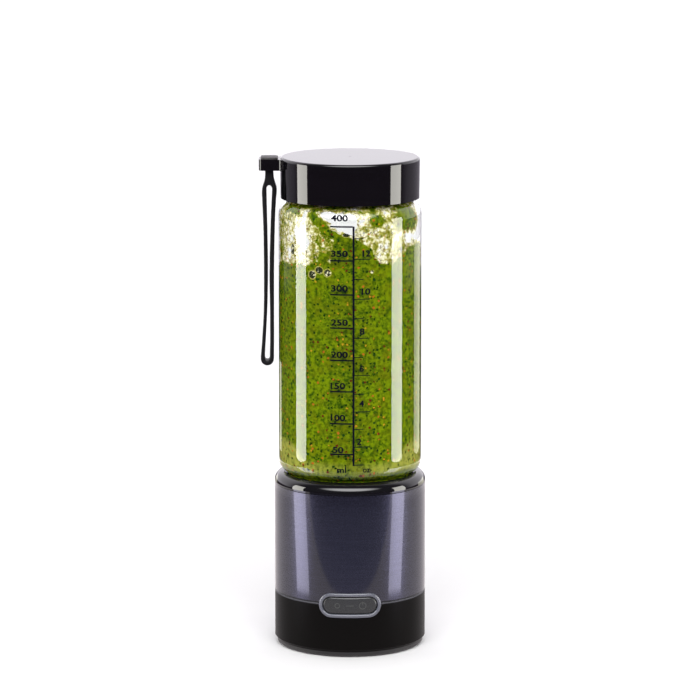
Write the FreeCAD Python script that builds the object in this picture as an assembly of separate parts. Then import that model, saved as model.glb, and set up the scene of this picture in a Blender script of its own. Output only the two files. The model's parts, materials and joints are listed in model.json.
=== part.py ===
"""Cordless bottle blender, 400 ml: a clear jar screwed between a strapped lid and a motor base.

Millimetres, +Z up, origin on the base's axis at the surface that the blender stands on.
The button faces -Y, the strap hangs on the -X side and the charging port faces +Y.
Each function below returns one separate piece.
"""

import FreeCAD
import Part

import math
import os

V = FreeCAD.Vector
ORIGIN = V(0, 0, 0)
X_AXIS, Y_AXIS, Z_AXIS = V(1, 0, 0), V(0, 1, 0), V(0, 0, 1)

# ---- fits ----------------------------------------------------------------------------------------
seat_gap = 0.05          # pieces that are pushed, screwed or bonded together, radially
slip_gap = 0.15          # pieces that drop into each other, on each side
run_gap = 0.04           # shaft in its bearing, radially
air_gap = 0.3            # moving pieces that never touch
overlap = 1.0            # how far a feature reaches into what it is joined to or cut from

# ---- jar -----------------------------------------------------------------------------------------
jar_inset = 2.15         # the jar's straight wall lies this far inside the base's
jar_wall = 2.0
jar_seat_depth = 8.8     # the lower rim lies this far below the collar's top
jar_rim_high = 230.4     # upper rim, under the lid seal
low_neck_step = 5.25     # lower neck, without its thread, inside the straight wall
high_neck_step = 4.95    # upper neck, without its thread, inside the straight wall
low_shoulder_arc = 6.0
low_shoulder_lift = 5.7  # the lower shoulder meets the straight wall this far above the collar
high_shoulder_arc = 8.5
high_shoulder_drop = 23.4  # the upper shoulder meets it this far below the upper rim
gasket_thickness = 1.4   # ring under the jar's lower rim

# ---- threads of the jar and of what it screws into -----------------------------------------------
thread_lead = 9.0        # rise per turn
thread_starts = 3
thread_turns = 0.5       # turns of each start
thread_depth = 1.0
thread_root_width = 1.3
thread_crest_width = 0.7
thread_sink = 0.4        # how far a ridge reaches into the wall that carries it
low_thread_rise = 1.6    # first ridge of the lower neck, above its rim
high_thread_drop = 9.0   # first ridge of the upper neck, below its rim

# ---- lid -----------------------------------------------------------------------------------------
lid_wall = 1.65          # round the insert, at the lid's top
lid_draft = 0.2          # the lid is wider at its top by this
lid_skirt = 15.2         # the lid reaches this far below the jar's upper rim
lid_top_wall = 1.6
lid_edge_round = 1.2
lid_insert_wall = 1.1
lid_insert_top = 1.2
lid_insert_recess = 0.8  # the insert ends this far above the lid's lower edge
lid_seal_thickness = 1.4
lid_seal_inset = 0.5     # the seal reaches this far inside the neck's bore
gate_radius = 0.45       # moulding gate mark in the middle of the lid
gate_depth = 0.35

# ---- strap lug on the lid ------------------------------------------------------------------------
lug_end_wall = 2.4       # beyond the strap's slot
lug_side_wall = 1.9      # beside the strap's slot
lug_drop = 0.8           # the lug's top lies this far below the lid's top
lug_height = 5.3
lug_corner = 2.2
lug_flare = 2.0
slot_play = 0.9          # the slot is longer than the strap's neck by this

# ---- strap ---------------------------------------------------------------------------------------
strap_out = 5.1          # from the lid's side to the middle of the strap's neck
strap_width = 8.0
neck_thickness = 4.1
head_end_margin = 2.0    # the head reaches this far past the neck, outward and inward
head_side_margin = 1.3   # and this far on the neck's other two sides
head_thickness = 0.8
flex_drop = 2.6          # the strap bends this far below the lug
loop_shoulder_drop = 6.0   # from the bend down to the loop's widest place near its top
flex_radius = 1.2
flex_wedge = 42.0        # half angle of the strap above and below the bend
loop_length = 90.9       # from the bend to the loop's lowest point
loop_shoulder_half = 3.45
loop_waist_half = 2.35
loop_end_half = 3.1
loop_lean = 1.2          # the loop's end hangs this much further from the jar
strand_thickness = 1.8
loop_end_thickness = 2.2

# ---- base, outside -------------------------------------------------------------------------------
base_radius = 36.0
foot_thickness = 1.2
foot_height = 0.5        # the foot pad stands out below the cover by this
foot_inset = 3.8         # the foot pad's edge inside the cover's
foot_groove_inset = 4.0  # the groove's edge inside the foot pad's
foot_groove_width = 1.2
foot_groove_depth = 0.4
cover_thickness = 2.1
housing_chamfer = 1.2
housing_wall = 1.8
seam_z = 26.2            # lower housing meets the metal sleeve
seam_chamfer = 0.3
spigot_height = 2.8
tongue_margin = 2.6      # how far the housing's tongue reaches round the button's hole
sleeve_wall = 0.8
sleeve_top = 78.4
collar_height = 5.4      # collar above the sleeve
collar_land = 0.1        # flat ring between the collar's round and the socket's mouth
collar_lead_in = 1.4     # chamfer at the mouth of the jar's socket
collar_roof = 3.6        # thickness over the gap between socket and skirt
collar_skirt_wall = 1.5
collar_skirt_height = 6.0
socket_wall = 1.8

# ---- button --------------------------------------------------------------------------------------
button_drop = 0.7        # the button's middle below the seam
bezel_half_length = 14.75
bezel_half_height = 5.9
bezel_rim = 1.7
bezel_proud = 0.9
bezel_flange = 1.2       # the flange behind the wall is wider than the hole by this
bezel_flange_depth = 1.5
cap_proud = 0.45
cap_flange = 0.9
cap_flange_depth = 1.4
button_travel = 0.6

# ---- blade seat and spindle ----------------------------------------------------------------------
seat_thickness = 2.0
ledge_thickness = 2.0
ledge_width = 5.4        # the collar's ledge reaches this far in from the socket
hub_radius = 8.0
hub_depth = 4.8          # hub below the seat's underside
hub_height = 5.4         # hub above the seat's top
hub_fillet = 2.5
bearing_radius = 5.5
bearing_height = 3.5
bearing_web = 1.0        # web between the bearings and the shaft seal
web_hole_radius = 3.2
clip_thickness = 0.6
clip_inner_radius = 4.6
clip_groove = 0.6
seal_height = 2.2
spindle_radius = 2.5
spindle_clip_radius = 4.0
spindle_clip_groove = 0.4
blade_lift = 0.6         # lowest blade above the hub
blade_thickness = 1.0
blade_stud_radius = 2.1  # spindle where the blades sit
blade_hub_radius = 6.0
blade_root_half = 4.2
blade_tip_half = 1.2
blade_bend = 8.0         # from the axis to the blade's bend
lower_blade_arm = 13.0
lower_blade_angle = 10.0
upper_blade_arm = 15.0
upper_blade_angle = 58.0
spacer_radius = 4.5
spacer_height = 1.2
nut_across_flats = 7.0
nut_height = 3.0
stud_end = 1.0           # spindle above the nut

# ---- motor ---------------------------------------------------------------------------------------
motor_radius = 13.8
motor_wall = 0.8
motor_length = 33.0
motor_shaft_radius = 1.58
endcap_flange = 1.4
endcap_plug = 1.6
magnet_thickness = 1.6
magnet_angle = 140.0
magnet_end_gap = 5.0     # can's ends to the magnets
armature_gap = 0.55      # armature to the magnets
commutator_radius = 3.2
commutator_height = 3.0
plate_thickness = 2.4
plate_inset = 0.8        # the motor plate's edge inside the frame's
plate_hole_radius = 6.8
coupler_radius = 6.5
coupler_disc = 2.0
coupler_gap = 1.2        # drive coupler above the motor plate
coupler_drop = 1.1       # driven coupler below the blade seat's hub
dog_height = 2.8
dog_inner_radius = 3.4
dog_angle = 54.0
dog_count = 3

# ---- inner frame, cells and boards ---------------------------------------------------------------
pocket_wall = 1.5
pocket_floor = 2.0
frame_flange = 2.0
frame_gap = 0.4          # frame to the housing
cell_margin = 1.0        # cell to the motor, and cell to the housing
cell_foot = 1.0          # cells above the bottom cover
cell_headroom = 1.0      # cells below the collar's ledge
tab_thickness = 0.3
tab_width = 7.0
rail_width = 2.2
rail_end = 1.0           # rail past the board
board_thickness = 1.2
control_board_half = 13.0
control_board_foot = 5.4   # the board's lower edge above the bottom cover
control_board_drop = 7.0   # the board's upper edge below the motor plate
switch_standoff = 1.15   # the switch's front behind the back of the cap
switch_board_half = 10.0
switch_board_height = 15.0
switch_side = 6.0
switch_depth = 3.0
plunger_radius = 1.6
led_length = 3.0
led_height = 1.6
led_depth = 1.5
led_x = 7.2

# ---- screws --------------------------------------------------------------------------------------
screw_radius = 1.3
screw_head_radius = 2.3
screw_head_height = 1.5
cover_screw_inset = 6.2  # screw's middle inside the housing's bore
cover_screw_length = 8.0
boss_radius = 3.0
cover_boss_height = 2.0
housing_boss_height = 9.5
post_inset = 3.1         # post's middle inside the outside of the jar's socket
post_radius = 2.6
frame_screw_length = 10.0
seat_screw_inset = 2.6   # screw's middle inside the blade seat's edge
seat_screw_length = 3.2
motor_screw_radius = 1.2
motor_screw_head = 1.92   # radius
motor_screw_clear = 1.18  # heads to the drive coupler's rim
motor_screw_length = 3.2

# ---- charging port -------------------------------------------------------------------------------
port_z = 14.9
socket_half_length = 4.5
socket_half_height = 1.6
socket_shell = 0.35
socket_depth = 5.4
socket_back = 0.2        # wall behind the socket's mouth
tongue_half_length = 3.3
tongue_half_height = 0.35
flap_half_length = 6.15
flap_half_height = 3.25
flap_thickness = 1.2
flap_bead_radius = 0.7
flap_bead_half = 3.0
flap_plug_depth = 0.85
port_boss_margin = 1.4
port_boss_depth = 1.8

# ---- sizes that follow from those above ------------------------------------------------------------
jar_radius = base_radius - jar_inset
jar_bore = jar_radius - jar_wall
low_neck_radius = jar_radius - low_neck_step
high_neck_radius = jar_radius - high_neck_step
low_neck_bore = low_neck_radius - jar_wall
high_neck_bore = high_neck_radius - jar_wall
collar_top = sleeve_top + collar_height
collar_underside = collar_top - collar_roof
jar_rim_low = collar_top - jar_seat_depth
low_shoulder_z = collar_top + low_shoulder_lift
high_shoulder_z = jar_rim_high - high_shoulder_drop
thread_pitch = thread_lead / thread_starts
low_thread_z = jar_rim_low + low_thread_rise
high_thread_z = jar_rim_high - high_thread_drop
socket_bore = low_neck_radius + thread_depth + air_gap
socket_radius = socket_bore + socket_wall
collar_round = base_radius - socket_bore - collar_lead_in - collar_land
insert_bore = high_neck_radius + thread_depth + air_gap
insert_radius = insert_bore + lid_insert_wall
lid_bore = insert_radius + seat_gap
lid_radius = lid_bore + lid_wall
lid_bottom = jar_rim_high - lid_skirt
seal_top = jar_rim_high + lid_seal_thickness
insert_top = seal_top + lid_insert_top
lid_top = insert_top + lid_top_wall
lug_top = lid_top - lug_drop
lug_bottom = lug_top - lug_height
strap_x = lid_radius + strap_out
slot_length = neck_thickness + slot_play
slot_width = strap_width + air_gap * 2
lug_width = slot_width + lug_side_wall * 2
lug_reach = strap_x + slot_length / 2 + lug_end_wall
head_length = neck_thickness + head_end_margin * 2
head_width = strap_width + head_side_margin * 2
flex_z = lug_bottom - flex_drop
loop_shoulder_z = flex_z - loop_shoulder_drop
loop_bottom = flex_z - loop_length

housing_bottom = foot_height + cover_thickness
housing_bore = base_radius - housing_wall
cover_radius = base_radius - housing_chamfer
foot_radius = cover_radius - foot_inset
foot_groove_radius = foot_radius - foot_groove_inset
sleeve_bore = base_radius - sleeve_wall
spigot_radius = sleeve_bore - seat_gap
spigot_top = seam_z + spigot_height
skirt_radius = sleeve_bore - seat_gap
cover_screw_circle = housing_bore - cover_screw_inset
post_circle = socket_radius - post_inset

gasket_bottom = jar_rim_low - gasket_thickness
ledge_top = gasket_bottom - seat_thickness
ledge_bottom = ledge_top - ledge_thickness
ledge_inner_radius = socket_bore - ledge_width
seat_radius = socket_bore - air_gap
seat_screw_circle = seat_radius - seat_screw_inset
hub_bottom = ledge_top - hub_depth
hub_top = gasket_bottom + hub_height
hub_bore = bearing_radius + seat_gap
seal_bottom = hub_top - seal_height
upper_bearing_top = seal_bottom - bearing_web
upper_bearing_bottom = upper_bearing_top - bearing_height
lower_bearing_top = upper_bearing_bottom - air_gap
lower_bearing_bottom = lower_bearing_top - bearing_height
blade_z = hub_top + blade_lift
upper_blade_z = blade_z + blade_thickness + spacer_height
nut_z = upper_blade_z + blade_thickness
stud_top = nut_z + nut_height + stud_end

driven_disc_top = hub_bottom - coupler_drop
driven_disc_bottom = driven_disc_top - coupler_disc
drive_disc_top = driven_disc_bottom - air_gap - dog_height
drive_disc_bottom = drive_disc_top - coupler_disc
plate_top = drive_disc_bottom - coupler_gap
motor_top = plate_top - plate_thickness
motor_bottom = motor_top - motor_length
motor_screw_circle = coupler_radius + motor_screw_clear + motor_screw_head
armature_radius = motor_radius - motor_wall - seat_gap - magnet_thickness - armature_gap
pocket_bore = motor_radius + slip_gap
pocket_radius = pocket_bore + pocket_wall
pocket_bottom = motor_bottom - endcap_flange - pocket_floor
frame_radius = housing_bore - frame_gap
plate_radius = frame_radius - plate_inset
cell_radius = (housing_bore - motor_radius) / 2 - cell_margin
cell_bore = cell_radius + slip_gap
cell_x = motor_radius + cell_margin + cell_radius
cell_bottom = housing_bottom + cell_foot
cell_top = ledge_bottom - cell_headroom
cover_boss_top = housing_bottom + cover_boss_height
housing_boss_top = cover_boss_top + housing_boss_height

button_z = seam_z - button_drop
bezel_back = housing_bore - seat_gap - bezel_flange_depth
cap_half_length = bezel_half_length - bezel_rim - air_gap
cap_half_height = bezel_half_height - bezel_rim - air_gap
cap_flange_front = bezel_back - air_gap
cap_back = cap_flange_front - cap_flange_depth
switch_board_y = cap_back - switch_standoff - switch_depth - board_thickness
switch_front_y = -cap_back + switch_standoff
flap_radius = base_radius - seat_gap
flap_back = flap_radius - flap_thickness
flap_floor = flap_back - slip_gap
flap_axis_y = flap_radius - flap_bead_radius - slip_gap
flap_axis_z = port_z + flap_half_height + flap_bead_radius / 2
socket_front = flap_back - flap_plug_depth - air_gap
control_board_y = socket_front - socket_depth - socket_back - board_thickness
control_board_bottom = housing_bottom + control_board_foot
control_board_top = motor_top - control_board_drop

# Parts on the control board's inner face: left edge, drop below the board's top, width, height, depth.
control_parts = [(-9.0, 18.0, 6.0, 6.0, 1.2), (1.0, 10.0, 5.0, 4.0, 1.0), (3.0, 24.0, 7.0, 7.0, 3.0)]


# ---- shapes that repeat --------------------------------------------------------------------------
def disc(radius, z_low, z_high, x=0.0, y=0.0):
    return Part.makeCylinder(radius, z_high - z_low, V(x, y, z_low))


def ring(inner, outer, z_low, z_high, x=0.0, y=0.0):
    return disc(outer, z_low, z_high, x, y).cut(disc(inner, z_low - overlap, z_high + overlap, x, y))


def block(x_low, x_high, y_low, y_high, z_low, z_high):
    return Part.makeBox(x_high - x_low, y_high - y_low, z_high - z_low, V(x_low, y_low, z_low))


def rod_along(axis, radius, start, length):
    return Part.makeCylinder(radius, length, start, axis)


def outline(points, place):
    """A closed face through points. An entry that is a pair of points is an arc's middle and its end."""
    edges = []
    start = here = place(*points[0])
    for step in points[1:]:
        if isinstance(step[0], tuple):
            end = place(*step[1])
            edges.append(Part.Arc(here, place(*step[0]), end).toShape())
        else:
            end = place(*step)
            edges.append(Part.LineSegment(here, end).toShape())
        here = end
    if not here.isEqual(start, 1e-6):
        edges.append(Part.LineSegment(here, start).toShape())
    return Part.Face(Part.Wire(edges))


def in_xz(a, b):
    return V(a, 0, b)


def in_xy(a, b):
    return V(a, b, 0)


def turned(points):
    """A solid turned about the base's axis from an outline of (radius, height)."""
    return outline(points, in_xz).revolve(ORIGIN, Z_AXIS, 360)


def polar(radius, degrees, centre_a=0.0, centre_b=0.0):
    angle = math.radians(degrees)
    return centre_a + radius * math.cos(angle), centre_b + radius * math.sin(angle)


def pill(half_length, half_height, z, y_low, y_high):
    """A bar along Y whose section is a pill lying along X."""
    flat = half_length - half_height
    bar = block(-flat, flat, y_low, y_high, z - half_height, z + half_height)
    for side in (-1, 1):
        bar = bar.fuse(rod_along(Y_AXIS, half_height, V(side * flat, y_low, z), y_high - y_low))
    return bar.removeSplitter()


def band(inner, outer, z):
    """A ring tall enough to hold the button or the port at height z."""
    return ring(inner, outer, z - bezel_half_height * 2, z + bezel_half_height * 2)


def about_axis(shape, count, first=0.0):
    copies = []
    for number in range(count):
        copy = shape.copy()
        copy.rotate(ORIGIN, Z_AXIS, first + 360.0 * number / count)
        copies.append(copy)
    return copies


def on_corners(circle):
    """Four places on a circle, clear of the cells at its left and right."""
    return [polar(circle, degrees) for degrees in (45, 135, 225, 315)]


def on_posts(circle):
    """Four places on a circle, nearer the front and back than the corners are."""
    return [polar(circle, degrees) for degrees in (60, 120, 240, 300)]


def screw(x, y, seat_z, length, radius=screw_radius, head=screw_head_radius, up=True):
    """A screw whose head bears at seat_z, with a cross recess. Its shank points up, or down."""
    head_low = seat_z - screw_head_height if up else seat_z
    shank_low = seat_z if up else seat_z - length
    recess_low = head_low if up else seat_z + screw_head_height / 2
    body = disc(head, head_low, head_low + screw_head_height, x, y)
    body = body.fuse(disc(radius, shank_low, shank_low + length, x, y))
    arm, half = head * 0.65, head * 0.13
    for reach_x, reach_y in ((arm, half), (half, arm)):
        recess = block(x - reach_x, x + reach_x, y - reach_y, y + reach_y,
                       recess_low, recess_low + screw_head_height / 2)
        body = body.cut(recess)
    return body


def thread(radius, start_z, outward):
    """Ridges of a right-handed thread that stand on a wall of this radius, outward or inward."""
    sign = 1 if outward else -1
    root = radius - sign * thread_sink
    crest = radius + sign * thread_depth
    half_root, half_crest = thread_root_width / 2, thread_crest_width / 2
    corners = [V(root, 0, -half_root), V(crest, 0, -half_crest),
               V(crest, 0, half_crest), V(root, 0, half_root)]
    profile = Part.makePolygon(corners + corners[:1])
    path = Part.Wire(Part.makeHelix(thread_lead, thread_lead * thread_turns, radius).Edges)
    ridge = path.makePipeShell([profile], True, True)
    ridge.translate(V(0, 0, start_z))
    return about_axis(ridge, thread_starts)


def as_group(solids):
    return Part.makeCompound(solids)


# ---- lid and strap -------------------------------------------------------------------------------
def make_lug():
    """The strap's lug in plan, with round corners at its end and hollow flares where it meets the lid."""
    half = lug_width / 2
    root = -math.sqrt(lid_radius ** 2 - (half + lug_flare) ** 2) + overlap
    flare_x = -math.sqrt(lid_radius ** 2 - half ** 2) - lug_flare
    end = -lug_reach
    diagonal = math.sqrt(0.5)
    corner = lug_corner * (1 - diagonal)
    flare = lug_flare * (1 - diagonal)
    upper = [
        (root, half + lug_flare), (flare_x + lug_flare, half + lug_flare),
        ((flare_x + lug_flare - flare, half + flare), (flare_x, half)),
        (end + lug_corner, half), ((end + corner, half - corner), (end, half - lug_corner)),
    ]
    lower = [
        (end, -half + lug_corner), ((end + corner, -half + corner), (end + lug_corner, -half)),
        (flare_x, -half),
        ((flare_x + lug_flare - flare, -half - flare), (flare_x + lug_flare, -half - lug_flare)),
        (root, -half - lug_flare),
    ]
    plan = outline(upper + lower, in_xy)
    plan.translate(V(0, 0, lug_bottom))
    lug = plan.extrude(V(0, 0, lug_height))
    slot = block(-strap_x - slot_length / 2, -strap_x + slot_length / 2,
                 -slot_width / 2, slot_width / 2, lug_bottom - overlap, lug_top + overlap)
    return lug.cut(slot)


def make_lid_cap():
    side = lid_radius - lid_edge_round
    round_middle = polar(lid_edge_round, 45, side, lid_top - lid_edge_round)
    shell = turned([
        (lid_bore, lid_bottom), (lid_radius - lid_draft, lid_bottom), (lid_radius, lid_top - lid_edge_round),
        (round_middle, (side, lid_top)), (0, lid_top), (0, insert_top), (lid_bore, insert_top),
    ])
    hollow = disc(lid_bore, lid_bottom - overlap, insert_top)
    gate = disc(gate_radius, lid_top - gate_depth, lid_top + overlap)
    return shell.fuse(make_lug().cut(hollow)).cut(gate)


def make_lid_insert():
    low = lid_bottom + lid_insert_recess
    body = turned([
        (insert_bore, low), (insert_radius, low), (insert_radius, insert_top), (0, insert_top),
        (0, seal_top), (insert_bore, seal_top),
    ])
    return body.fuse(thread(insert_bore, high_thread_z - thread_pitch / 2, False))


def make_lid_seal():
    return ring(high_neck_bore - lid_seal_inset, insert_bore - air_gap, jar_rim_high, seal_top)


def strap_wedge(sign, height):
    """Half of the strap's neck at the bend, above it (sign 1) or below it (sign -1), as points in XZ."""
    half = neck_thickness / 2
    rise = half / math.tan(math.radians(flex_wedge))
    return [(-strap_x - half, flex_z + sign * height), (-strap_x - half, flex_z + sign * rise),
            (-strap_x, flex_z), (-strap_x + half, flex_z + sign * rise),
            (-strap_x + half, flex_z + sign * height)]


def across_strap(face, width):
    face.translate(V(0, -width / 2, 0))
    return face.extrude(V(0, width, 0))


def make_strap_head():
    neck = across_strap(outline(strap_wedge(1, lug_top - flex_z), in_xz), strap_width)
    bend = rod_along(Y_AXIS, flex_radius + run_gap * 2, V(-strap_x, -strap_width, flex_z), strap_width * 2)
    plate = block(-strap_x - head_length / 2, -strap_x + head_length / 2, -head_width / 2, head_width / 2,
                  lug_top, lug_top + head_thickness)
    corners = [edge for edge in plate.Edges if abs(edge.tangentAt(edge.FirstParameter).z) > 0.9]
    return plate.makeFillet(lug_corner, corners).fuse(neck).cut(bend).removeSplitter()


def loop_face(inset, top_z, bottom_z):
    """The loop's outline in XZ, or with an inset the outline of its opening."""
    shoulder, waist, end = [half - inset for half in (loop_shoulder_half, loop_waist_half, loop_end_half)]
    waist_z = flex_z - loop_length / 2
    end_x = -strap_x - loop_lean
    end_z = bottom_z + end
    left, right = [], []
    for side, points in ((-1, left), (1, right)):
        points.append(V(-strap_x + side * shoulder, 0, loop_shoulder_z))
        points.append(V(-strap_x - loop_lean * 0.25 + side * waist, 0, waist_z + loop_length / 6))
        points.append(V(-strap_x - loop_lean * 0.45 + side * waist, 0, waist_z - loop_length / 6))
        points.append(V(end_x + side * end, 0, end_z))
    down = Part.BSplineCurve()
    down.interpolate(Points=left, InitialTangent=V(0, 0, -1), FinalTangent=V(0, 0, -1))
    up = Part.BSplineCurve()
    up.interpolate(Points=right[::-1], InitialTangent=V(0, 0, 1), FinalTangent=V(0, 0, 1))
    foot = Part.Arc(left[-1], V(end_x, 0, bottom_z), right[-1])
    crown = Part.Arc(right[0], V(-strap_x, 0, top_z), left[0])
    return Part.Face(Part.Wire([down.toShape(), foot.toShape(), up.toShape(), crown.toShape()]))


def make_strap_loop():
    crown_z = loop_shoulder_z + loop_shoulder_half
    outer = across_strap(loop_face(0.0, crown_z, loop_bottom), strap_width)
    hole = across_strap(
        loop_face(strand_thickness, crown_z - strand_thickness, loop_bottom + loop_end_thickness),
        strap_width * 2)
    neck = across_strap(outline(strap_wedge(-1, loop_shoulder_drop), in_xz), strap_width)
    bead = rod_along(Y_AXIS, flex_radius, V(-strap_x, -strap_width / 2, flex_z), strap_width)
    return outer.fuse(neck).fuse(bead).cut(hole).removeSplitter()


# ---- jar -----------------------------------------------------------------------------------------
def make_jar():
    low_r, low_z = jar_radius - low_shoulder_arc, low_shoulder_z
    high_r, high_z = jar_radius - high_shoulder_arc, high_shoulder_z
    low_inner, high_inner = low_shoulder_arc - jar_wall, high_shoulder_arc - jar_wall
    low_turn = -math.degrees(math.acos((low_neck_radius - low_r) / low_shoulder_arc))
    high_turn = math.degrees(math.acos((high_neck_radius - high_r) / high_shoulder_arc))
    high_inner_turn = math.degrees(math.acos((high_neck_bore - high_r) / high_inner))
    body = turned([
        (low_neck_bore, jar_rim_low), (low_neck_radius, jar_rim_low),
        polar(low_shoulder_arc, low_turn, low_r, low_z),
        (polar(low_shoulder_arc, low_turn / 2, low_r, low_z), (jar_radius, low_z)),
        (jar_radius, high_z),
        (polar(high_shoulder_arc, high_turn / 2, high_r, high_z),
         polar(high_shoulder_arc, high_turn, high_r, high_z)),
        (high_neck_radius, jar_rim_high), (high_neck_bore, jar_rim_high),
        polar(high_inner, high_inner_turn, high_r, high_z),
        (polar(high_inner, high_inner_turn / 2, high_r, high_z), (jar_bore, high_z)),
        (jar_bore, low_z),
        (polar(low_inner, -45, low_r, low_z), (low_r, low_z - low_inner)),
        (low_neck_bore, low_z - low_inner),
    ])
    ridges = thread(low_neck_radius, low_thread_z, True) + thread(high_neck_radius, high_thread_z, True)
    return body.fuse(ridges)


def make_jar_gasket():
    return ring(low_neck_bore, low_neck_radius, gasket_bottom, jar_rim_low)


# ---- base shell ----------------------------------------------------------------------------------
def make_collar():
    crown = base_radius - collar_round
    body = turned([
        (ledge_inner_radius, ledge_bottom), (socket_radius, ledge_bottom), (socket_radius, collar_underside),
        (skirt_radius - collar_skirt_wall, collar_underside),
        (skirt_radius - collar_skirt_wall, sleeve_top - collar_skirt_height),
        (skirt_radius, sleeve_top - collar_skirt_height), (skirt_radius, sleeve_top),
        (base_radius, sleeve_top), (base_radius, collar_top - collar_round),
        (polar(collar_round, 45, crown, collar_top - collar_round), (crown, collar_top)),
        (socket_bore + collar_lead_in, collar_top), (socket_bore, collar_top - collar_lead_in),
        (socket_bore, ledge_top), (ledge_inner_radius, ledge_top),
    ])
    body = body.fuse(thread(socket_bore, low_thread_z - thread_pitch / 2, False))
    for x, y in on_posts(post_circle):
        post = disc(post_radius, plate_top, ledge_bottom + overlap, x, y)
        pilot = disc(screw_radius + seat_gap, plate_top - overlap, plate_top + frame_screw_length,
                     x, y)
        body = body.fuse(post).cut(pilot)
    for x, y in on_corners(seat_screw_circle):
        body = body.cut(disc(screw_radius + seat_gap, ledge_bottom - overlap, ledge_top + seat_gap, x, y))
    return body


def button_hole(gap):
    return pill(bezel_half_length + gap, bezel_half_height + gap, button_z,
                -base_radius - overlap, -cap_back)


def make_metal_sleeve():
    body = turned([
        (sleeve_bore, seam_z), (base_radius - seam_chamfer, seam_z), (base_radius, seam_z + seam_chamfer),
        (base_radius, sleeve_top - seam_chamfer), (base_radius - seam_chamfer, sleeve_top),
        (sleeve_bore, sleeve_top),
    ])
    return body.cut(button_hole(seat_gap))


def make_lower_housing():
    body = turned([
        (housing_bore, housing_bottom), (base_radius - housing_chamfer, housing_bottom),
        (base_radius, housing_bottom + housing_chamfer), (base_radius, seam_z - seam_chamfer),
        (base_radius - seam_chamfer, seam_z), (spigot_radius, seam_z), (spigot_radius, spigot_top),
        (housing_bore, spigot_top),
    ])
    tongue = pill(bezel_half_length + tongue_margin, bezel_half_height + tongue_margin, button_z,
                  -base_radius, -housing_bore / 2).common(band(housing_bore, spigot_radius, button_z))
    body = body.fuse(tongue)
    for x, y in on_corners(cover_screw_circle):
        rib = block(0, base_radius - cover_screw_circle - housing_wall / 2,
                    -boss_radius / 3, boss_radius / 3, cover_boss_top, housing_boss_top)
        rib.rotate(ORIGIN, Z_AXIS, math.degrees(math.atan2(y, x)))
        rib.translate(V(x, y, 0))
        boss = disc(boss_radius, cover_boss_top, housing_boss_top, x, y)
        pilot = disc(screw_radius + seat_gap, cover_boss_top - overlap,
                     cover_boss_top + cover_screw_length, x, y)
        body = body.fuse([boss, rib]).cut(pilot)
    port_boss = pill(flap_half_length + port_boss_margin, flap_half_height + port_boss_margin, port_z,
                     flap_floor - port_boss_depth, base_radius)
    body = body.fuse(port_boss.common(band(housing_bore / 2, base_radius - housing_wall / 2, port_z)))
    port_hole = pill(socket_half_length + slip_gap, socket_half_height + slip_gap, port_z,
                     housing_bore / 2, base_radius + overlap)
    recess = pill(flap_half_length + air_gap, flap_half_height + air_gap, port_z, housing_bore / 2,
                  base_radius + overlap).common(band(flap_floor, base_radius + overlap, port_z))
    groove = rod_along(X_AXIS, flap_bead_radius + run_gap * 2,
                       V(-flap_bead_half - air_gap, flap_axis_y, flap_axis_z), (flap_bead_half + air_gap) * 2)
    relief_half = flap_half_length + air_gap
    relief = block(-relief_half, relief_half, flap_axis_y, base_radius + overlap,
                   flap_axis_z - flap_bead_radius, flap_axis_z + flap_thickness + air_gap)
    return body.cut([button_hole(seat_gap), port_hole, recess, groove, relief])


def make_bottom_cover():
    body = turned([
        (0, foot_thickness), (foot_radius + slip_gap, foot_thickness), (foot_radius + slip_gap, foot_height),
        (cover_radius - foot_height, foot_height), (cover_radius, foot_height * 2),
        (cover_radius, housing_bottom), (0, housing_bottom),
    ])
    for x, y in on_corners(cover_screw_circle):
        boss = disc(boss_radius, housing_bottom - foot_height, cover_boss_top, x, y)
        pocket = disc(screw_head_radius + slip_gap, foot_height, foot_thickness + screw_head_height,
                      x, y)
        hole = disc(screw_radius + slip_gap, foot_height, cover_boss_top + overlap, x, y)
        body = body.fuse(boss).cut([pocket, hole])
    return body


def make_cover_screws():
    seat = foot_thickness + screw_head_height
    length = cover_boss_top - seat + cover_screw_length - seat_gap
    return as_group([screw(x, y, seat, length) for x, y in on_corners(cover_screw_circle)])


def make_foot_pad():
    groove = ring(foot_groove_radius - foot_groove_width, foot_groove_radius, -overlap, foot_groove_depth)
    return disc(foot_radius, 0, foot_thickness).cut(groove)


# ---- button --------------------------------------------------------------------------------------
def make_button_bezel():
    y_low, y_high = -base_radius - overlap * 2, -cap_back
    rim = pill(bezel_half_length, bezel_half_height, button_z, y_low, y_high)
    rim = rim.common(band(bezel_back, base_radius + bezel_proud, button_z))
    flange = pill(bezel_half_length + bezel_flange, bezel_half_height + bezel_flange, button_z,
                  y_low, y_high)
    flange = flange.common(band(bezel_back, housing_bore - seat_gap, button_z))
    hole = pill(bezel_half_length - bezel_rim, bezel_half_height - bezel_rim, button_z,
                y_low, y_high)
    return rim.fuse(flange).cut(hole).removeSplitter()


def make_button_cap():
    y_low, y_high = -base_radius - overlap * 2, -cap_back / 2
    face = pill(cap_half_length, cap_half_height, button_z, y_low, y_high)
    face = face.common(band(cap_back, base_radius + cap_proud, button_z))
    flange = pill(cap_half_length + cap_flange, cap_half_height + cap_flange, button_z, y_low, y_high)
    flange = flange.common(band(cap_back, cap_flange_front, button_z))
    return face.fuse(flange).removeSplitter()


def make_tact_switch():
    half = switch_side / 2
    body = block(-half, half, switch_front_y, switch_front_y + switch_depth,
                 button_z - half, button_z + half)
    depth = switch_depth - air_gap
    hole = rod_along(Y_AXIS, plunger_radius + run_gap, V(0, switch_front_y - overlap, button_z),
                     depth + overlap)
    return body.cut(hole)


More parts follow.
